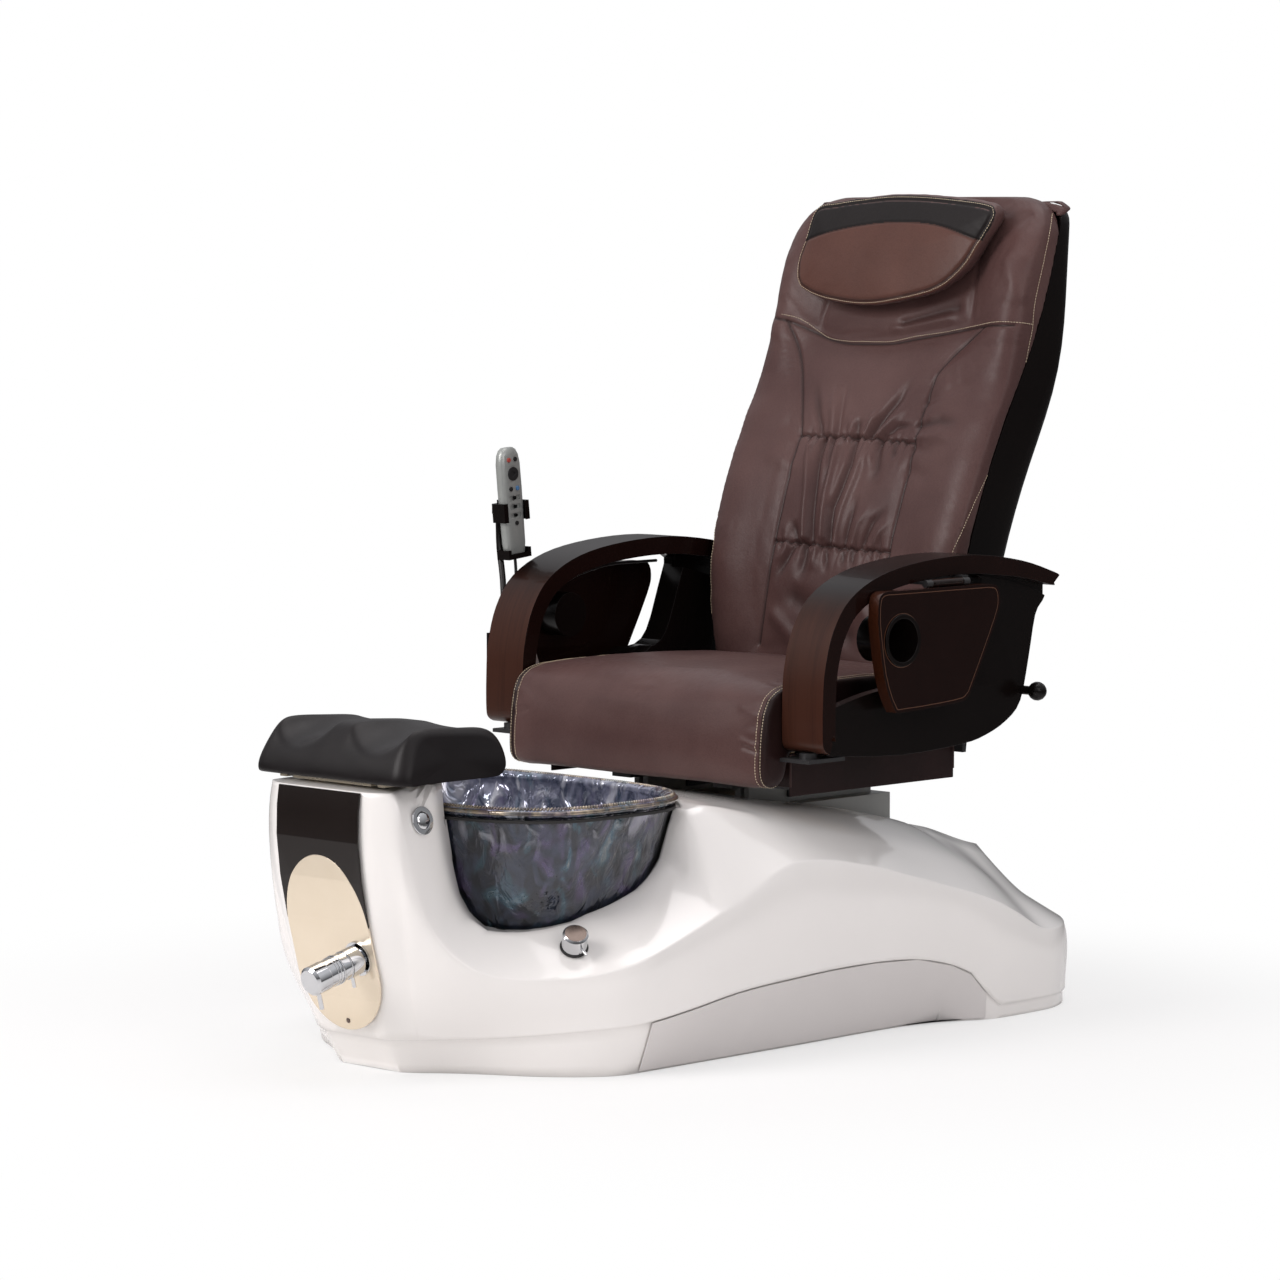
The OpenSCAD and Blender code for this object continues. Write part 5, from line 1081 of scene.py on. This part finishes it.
def sew_seat():
    """The seat cushion: one top and front panel between boxed sides, with a twice-stitched seam on each edge."""
    rows = ((SEAT_HW, 9 * MM), (SEAT_HW - 2 * MM, 3 * MM), (SEAT_HW - 6 * MM, 0.0), (200 * MM, 0.0), (90 * MM, 0.0))
    rows = rows + tuple((-x, cut) for x, cut in reversed(rows))
    piece = pad_of(stretch([[(x, p[0], p[1]) for p in drawn_in(seat_side, cut)] for x, cut in rows]),
                   "seat_cushion_cover", 5 * MM)
    smoothed(piece, 3)
    places = per_point(piece, "co")
    facing = per_point(piece, "normal")
    crown = 1 - np.clip(np.abs(places[:, 0]) / SEAT_HW, 0, 1) ** 2.5
    top = step(facing[:, 2], 0.3, 0.9) * step(places[:, 2], 500 * MM, 530 * MM)
    places[:, 2] += 4 * MM * crown * top
    put(piece, places)
    held = np.ones(len(places))
    open_face = (np.abs(places[:, 0]) < 255 * MM) & ((facing[:, 2] > 0.3) | (facing[:, 1] < -0.5))
    held[open_face & (places[:, 2] > 400 * MM)] = 0.0
    blow(piece, held, 5 * MM)
    finer(piece)
    places = per_point(piece, "co")
    facing = per_point(piece, "normal")
    x, y, z = places.T
    around = step(1 - np.abs(facing[:, 0]), 0.1, 0.5)
    off = np.abs(np.abs(x) - SEAT_SEAM)
    lift = around * (groove(off, 2.6 * MM, 2.4 * MM) + groove(off, 14 * MM, 1.4 * MM))
    pucker = noise_at(places * [0.12, 1, 1], 0.016, 21)
    lift += around * bell(np.abs(x) - 252 * MM, 12 * MM) * pucker * 1.6 * MM
    lift += 1.3 * MM * noise_at(places, 0.10, 11) + 0.5 * MM * noise_at(places * [0.5, 1, 1], 0.035, 12)
    front = step(-facing[:, 1], 0.4, 0.8)
    # Short puckers at the front corners: two ends, width and height in millimetres
    for (ax, az), (bx, bz), width, height in (
            ((262, 447), (238, 452), 3.5, -2.6), ((262, 455), (232, 462), 5, 1.6),
            ((262, 500), (225, 512), 7, 1.4), ((-262, 470), (-236, 478), 5, -1.5)):
        distance, _ = distance_to([(ax * MM, az * MM), (bx * MM, bz * MM)], x, z)
        lift += front * height * MM * bell(distance, width * MM)
    put(piece, places + facing * lift[:, None])
    upholster(piece, "seat", [leather, leather_dark], "seat_cushion")
    for face in piece.data.polygons:
        if abs(face.center.x) > SEAT_SEAM:
            face.material_index = 1
    # Painted shade along the side seams
    paint_seam_shade(piece, around * 0.5 * bell(off, 1.5 * MM))
    return skin_of(piece)


seat_skin = sew_seat()
SEAT_MID = (0.16, 0.485)       # the rows are laid inwards to this (y, z) line, or over the front edge to FRONT_MID
FRONT_MID = (0.08, 0.47)
for name, outer in OUTER.items():
    for row, across in enumerate((261.5 * MM, 271.5 * MM)):
        line = []
        for y, z in even(seat_side[3:20], STITCH_STEP):
            inwards = SEAT_MID if y > FRONT_MID[0] else FRONT_MID
            aim = Vector((0, inwards[0] - y, inwards[1] - z))
            line += lay(seat_skin, [(outer * across, y, z)], aim if y > FRONT_MID[0] or z > 0.40 else (0, 0.25, 0.5))
        sew(f"seat_stitches_{name}_{row}", line, "seat")

# Pillow's front panel as (x, z), and the line where its dark upper band begins
panel = [(x * MM, z * MM) for x, z in (
    (-198, 1214), (-204, 1179), (-194, 1146), (-165, 1130), (-117, 1119), (-38, 1112), (40, 1121), (114, 1139),
    (157, 1173), (178, 1209), (198, 1245), (199, 1263), (178, 1275), (75, 1285), (-5, 1288), (-65, 1285),
    (-140, 1277), (-187, 1267))]
band_line = flat_run([(-215, 1207), (-195, 1214), (-125, 1232), (-19, 1245), (89, 1241), (183, 1215), (215, 1203)])


def closed_run(corners, steps):
    """A smooth closed line through (x, z) corners."""
    ring = corners[-2:] + corners + corners[:2]
    run = bend([(x, 0, z) for x, z in ring], steps)
    return [(p.x, p.z) for p in run[2 * steps:(2 + len(corners)) * steps]]


panel_edge = closed_run(panel, 4)


def sew_pillow():
    """The half-moon pillow: a crowned front panel with a stitched rim over a gusset that tucks in behind."""
    rings = [on_back(drawn_in(panel_edge, cut * MM), out * MM) for cut, out in (
        (34, -1), (20, 6), (8, 16), (1, 27), (-3, 37), (-2, 45), (0, 51), (3, 54))]
    piece = pad_of(stretch(rings), "pillow_cover", 4 * MM)
    smoothed(piece, 3)
    places = per_point(piece, "co")
    facing = per_point(piece, "normal")
    front = step(-facing[:, 1], 0.5, 0.85) * step(face_y(places[:, 2]) - places[:, 1], 46 * MM, 51 * MM)
    loop = panel_edge + panel_edge[:1]
    inside, _ = distance_to(loop, places[:, 0], places[:, 2])
    places[:, 1] -= front * 11 * MM * (1 - np.exp(-inside / (30 * MM)))
    put(piece, places)
    finer(piece)
    places = per_point(piece, "co")
    facing = per_point(piece, "normal")
    x, z = places[:, 0], places[:, 2]
    out = face_y(z) - places[:, 1]
    inside, along = distance_to(loop, x, z)
    front = step(-facing[:, 1], 0.45, 0.8) * (out > 44 * MM)
    rim = bell(inside, 2.2 * MM) * (out > 42 * MM)
    band, _ = distance_to(band_line, x, z)
    lift = -1.8 * MM * bell(inside - 6 * MM, 2.6 * MM) * front + 0.9 * MM * rim
    lift += front * groove(band, 2.6 * MM, 1.6 * MM)
    lift += 0.9 * MM * noise_at(places, 0.06, 31) + 0.7 * MM * noise_at(places * [1, 0.2, 1], 0.018, 32) * (1 - front)
    put(piece, places + facing * lift[:, None])
    upholster(piece, "pillow_body", [leather_red, leather_black, leather], "pillow")
    for face in piece.data.polygons:
        c = face.center
        proud = face_y(c.z) - c.y
        if face.normal.y > -0.55 or proud < 46 * MM:
            face.material_index = 2
        elif c.z > read_off(band_line, c.x):
            face.material_index = 1
    # Painted shade along the panel's rim and along the dark band's seam
    paint_seam_shade(piece, np.maximum(0.8 * bell(inside - 5 * MM, 1.7 * MM) * front, 0.7 * bell(band, 1.6 * MM) * front))
    return skin_of(piece)


pillow_skin = sew_pillow()
rim_line = [(p.x, p.y) for p in drawn_in(panel_edge, 2.2 * MM)]
sew("pillow_stitches", lay(pillow_skin, on_back(even(rim_line + rim_line[:1], STITCH_STEP), 80 * MM), (0, 1, 0)),
    "pillow_body", thick=1.1 * MM)


HOOD_OUT = 2.6 * MM    # how far the hood stands off the back shell
EAR_OUT = 2.5 * MM     # and how much further at each ear


def sew_hood():
    """The cover's top edge: leather drawn over the back shell's rim, ending in a small ear at each corner."""
    bm = merged("back_shell")
    # What is kept ends at two planes, each given by a point and the way to what is cut off
    for at, away in (((0, 0.700, 1.2565), (0, 0.43, -1)), ((0, 0.7175, 0), (0, 1, 0))):
        bmesh.ops.bisect_plane(bm, geom=bm.verts[:] + bm.edges[:] + bm.faces[:], plane_co=at, plane_no=away,
                               clear_outer=True)
    inner = [face for face in bm.faces if face.normal.z < -0.3
             or (face.normal.x * face.calc_center_median().x < 0 and abs(face.normal.x) > 0.5)]
    bmesh.ops.delete(bm, geom=inner, context="FACES")
    loose = [v for v in bm.verts if not v.link_faces]
    bmesh.ops.delete(bm, geom=loose, context="VERTS")
    bmesh.ops.triangulate(bm, faces=bm.faces)
    for _ in range(3):
        bmesh.ops.subdivide_edges(bm, edges=[e for e in bm.edges if e.calc_length() > 7 * MM], cuts=1)
        bmesh.ops.triangulate(bm, faces=bm.faces)
    bmesh.ops.smooth_vert(bm, verts=bm.verts, factor=0.3, use_axis_x=True, use_axis_y=True, use_axis_z=True)
    bm.normal_update()
    for vert in bm.verts:
        rear = max(0.0, min(1.0, (vert.co.y - 0.702) / 0.014))
        corner = max(0.0, min(1.0, (abs(vert.co.x) - 0.225) / 0.04))
        vert.co += vert.normal * (HOOD_OUT + 1.0 * MM * noise.noise(vert.co / 0.03) + EAR_OUT * rear * corner)
    piece = show(bm, "cover_hood", "back", leather, turn=180)
    wall = piece.modifiers.new("hide", "SOLIDIFY")
    wall.thickness = 1.6 * MM
    wall.offset = 1.0


sew_hood()
dress("seat_skirt", leather_dark, 1 * MM)
for side in OUTER:
    for end, y in (("front", 0.0625), ("rear", 0.4405)):
        wire(f"skirt_piping_{end}_{side}", [(OUTER[side] * 0.2605, y, z) for z in (0.386, 0.402, 0.418, 0.4365)],
             3.6 * MM, "seat", piping_dark)

# ---- floor and light ------------------------------------------------------

WHITE = (1.0, 1.0, 1.0, 1.0)
COOL = (0.97, 0.97, 1.0, 1.0)


def lit(tree, kind, colour, strength):
    return add(tree, kind, {"Color": colour, "Strength": strength}).outputs[0]


def either(tree, share, a, b):
    """Goes from shader a to shader b by share."""
    return add(tree, "ShaderNodeMixShader", {0: share, 1: a, 2: b}).outputs["Shader"]


def seen_straight(tree, rays):
    """1 for rays that come from the camera, also through glass."""
    return combine(tree, "MAXIMUM", rays["Is Camera Ray"], rays["Is Transmission Ray"])


grid = bmesh.new()
bmesh.ops.create_grid(grid, x_segments=1, y_segments=1, size=9.0)
floor = placed(grid, "floor")
floor.location.z = -0.5 * MM
# White vinyl sweep: it keeps the chair's shadow close by, and goes over to clean white further out
floor_paint = surface("studio_floor", "#f4f3f2", "#f2f1f0", 0.6, 20 * MM, 0.01 * MM, **{"Specular IOR Level": 0.1})
tree = floor_paint.node_tree
middle = add(tree, "ShaderNodeTexCoord").outputs["Object"]
far = add(tree, "ShaderNodeVectorMath", {0: middle}, operation="LENGTH").outputs["Value"]
rays = add(tree, "ShaderNodeLightPath").outputs
clean = ramp(tree, far, 0.5, 1.5, 0.55, 1.0, interpolation_type="SMOOTHSTEP")
share = combine(tree, "MULTIPLY", seen_straight(tree, rays), clean)
# Shiny pieces see the studio go dark further out, as between soft boxes
shiny = combine(tree, "MULTIPLY", rays["Is Glossy Ray"], ramp(tree, far, 0.9, 2.6, 0.0, 0.85))
shaded = next(node for node in tree.nodes if node.type == "BSDF_PRINCIPLED").outputs["BSDF"]
dimmed = either(tree, shiny, shaded, lit(tree, "ShaderNodeEmission", WHITE, 0.06))
sheet = next(node for node in tree.nodes if node.type == "OUTPUT_MATERIAL")
set_sockets(tree, sheet, {"Surface": either(tree, share, dimmed, lit(tree, "ShaderNodeEmission", WHITE, 1.0))})
floor.data.materials.append(floor_paint)

world = bpy.data.worlds.new("studio")
scene.world = world
world.use_nodes = True
tree = world.node_tree
tree.nodes.clear()
rays = add(tree, "ShaderNodeLightPath").outputs
# Shiny pieces see the studio brighten with height, all others see it even, and the camera sees white
rising = ramp(tree, axis(tree, add(tree, "ShaderNodeTexCoord").outputs["Generated"], "Z"), -0.05, 0.6, 0.06, 0.75)
studio = either(tree, rays["Is Glossy Ray"], lit(tree, "ShaderNodeBackground", COOL, 0.5),
                lit(tree, "ShaderNodeBackground", COOL, rising))
white = lit(tree, "ShaderNodeBackground", WHITE, 1.0)
add(tree, "ShaderNodeOutputWorld", {"Surface": either(tree, seen_straight(tree, rays), studio, white)})


def softbox(name, place, aim, size, watts, colour):
    data = bpy.data.lights.new(name, "AREA")
    data.shape = "RECTANGLE"
    data.size, data.size_y = size
    data.energy = watts
    data.color = linear(colour)[:3]
    lamp = bpy.data.objects.new(name, data)
    scene.collection.objects.link(lamp)
    lamp.location = place
    lamp.rotation_euler = (Vector(aim) - Vector(place)).to_track_quat("-Z", "Y").to_euler()


softbox("key_light", (-1.2, -3.9, 3.0), (0.0, 0.0, 0.6), (2.2, 2.2), 122, "#fffbfa")
softbox("fill_light", (3.8, -1.2, 2.2), (0.0, 0.1, 0.6), (2.0, 2.6), 29, "#fff8f8")
softbox("top_light", (0.2, 0.6, 3.8), (0.0, 0.1, 0.5), (2.6, 2.6), 46, "#fffafa")
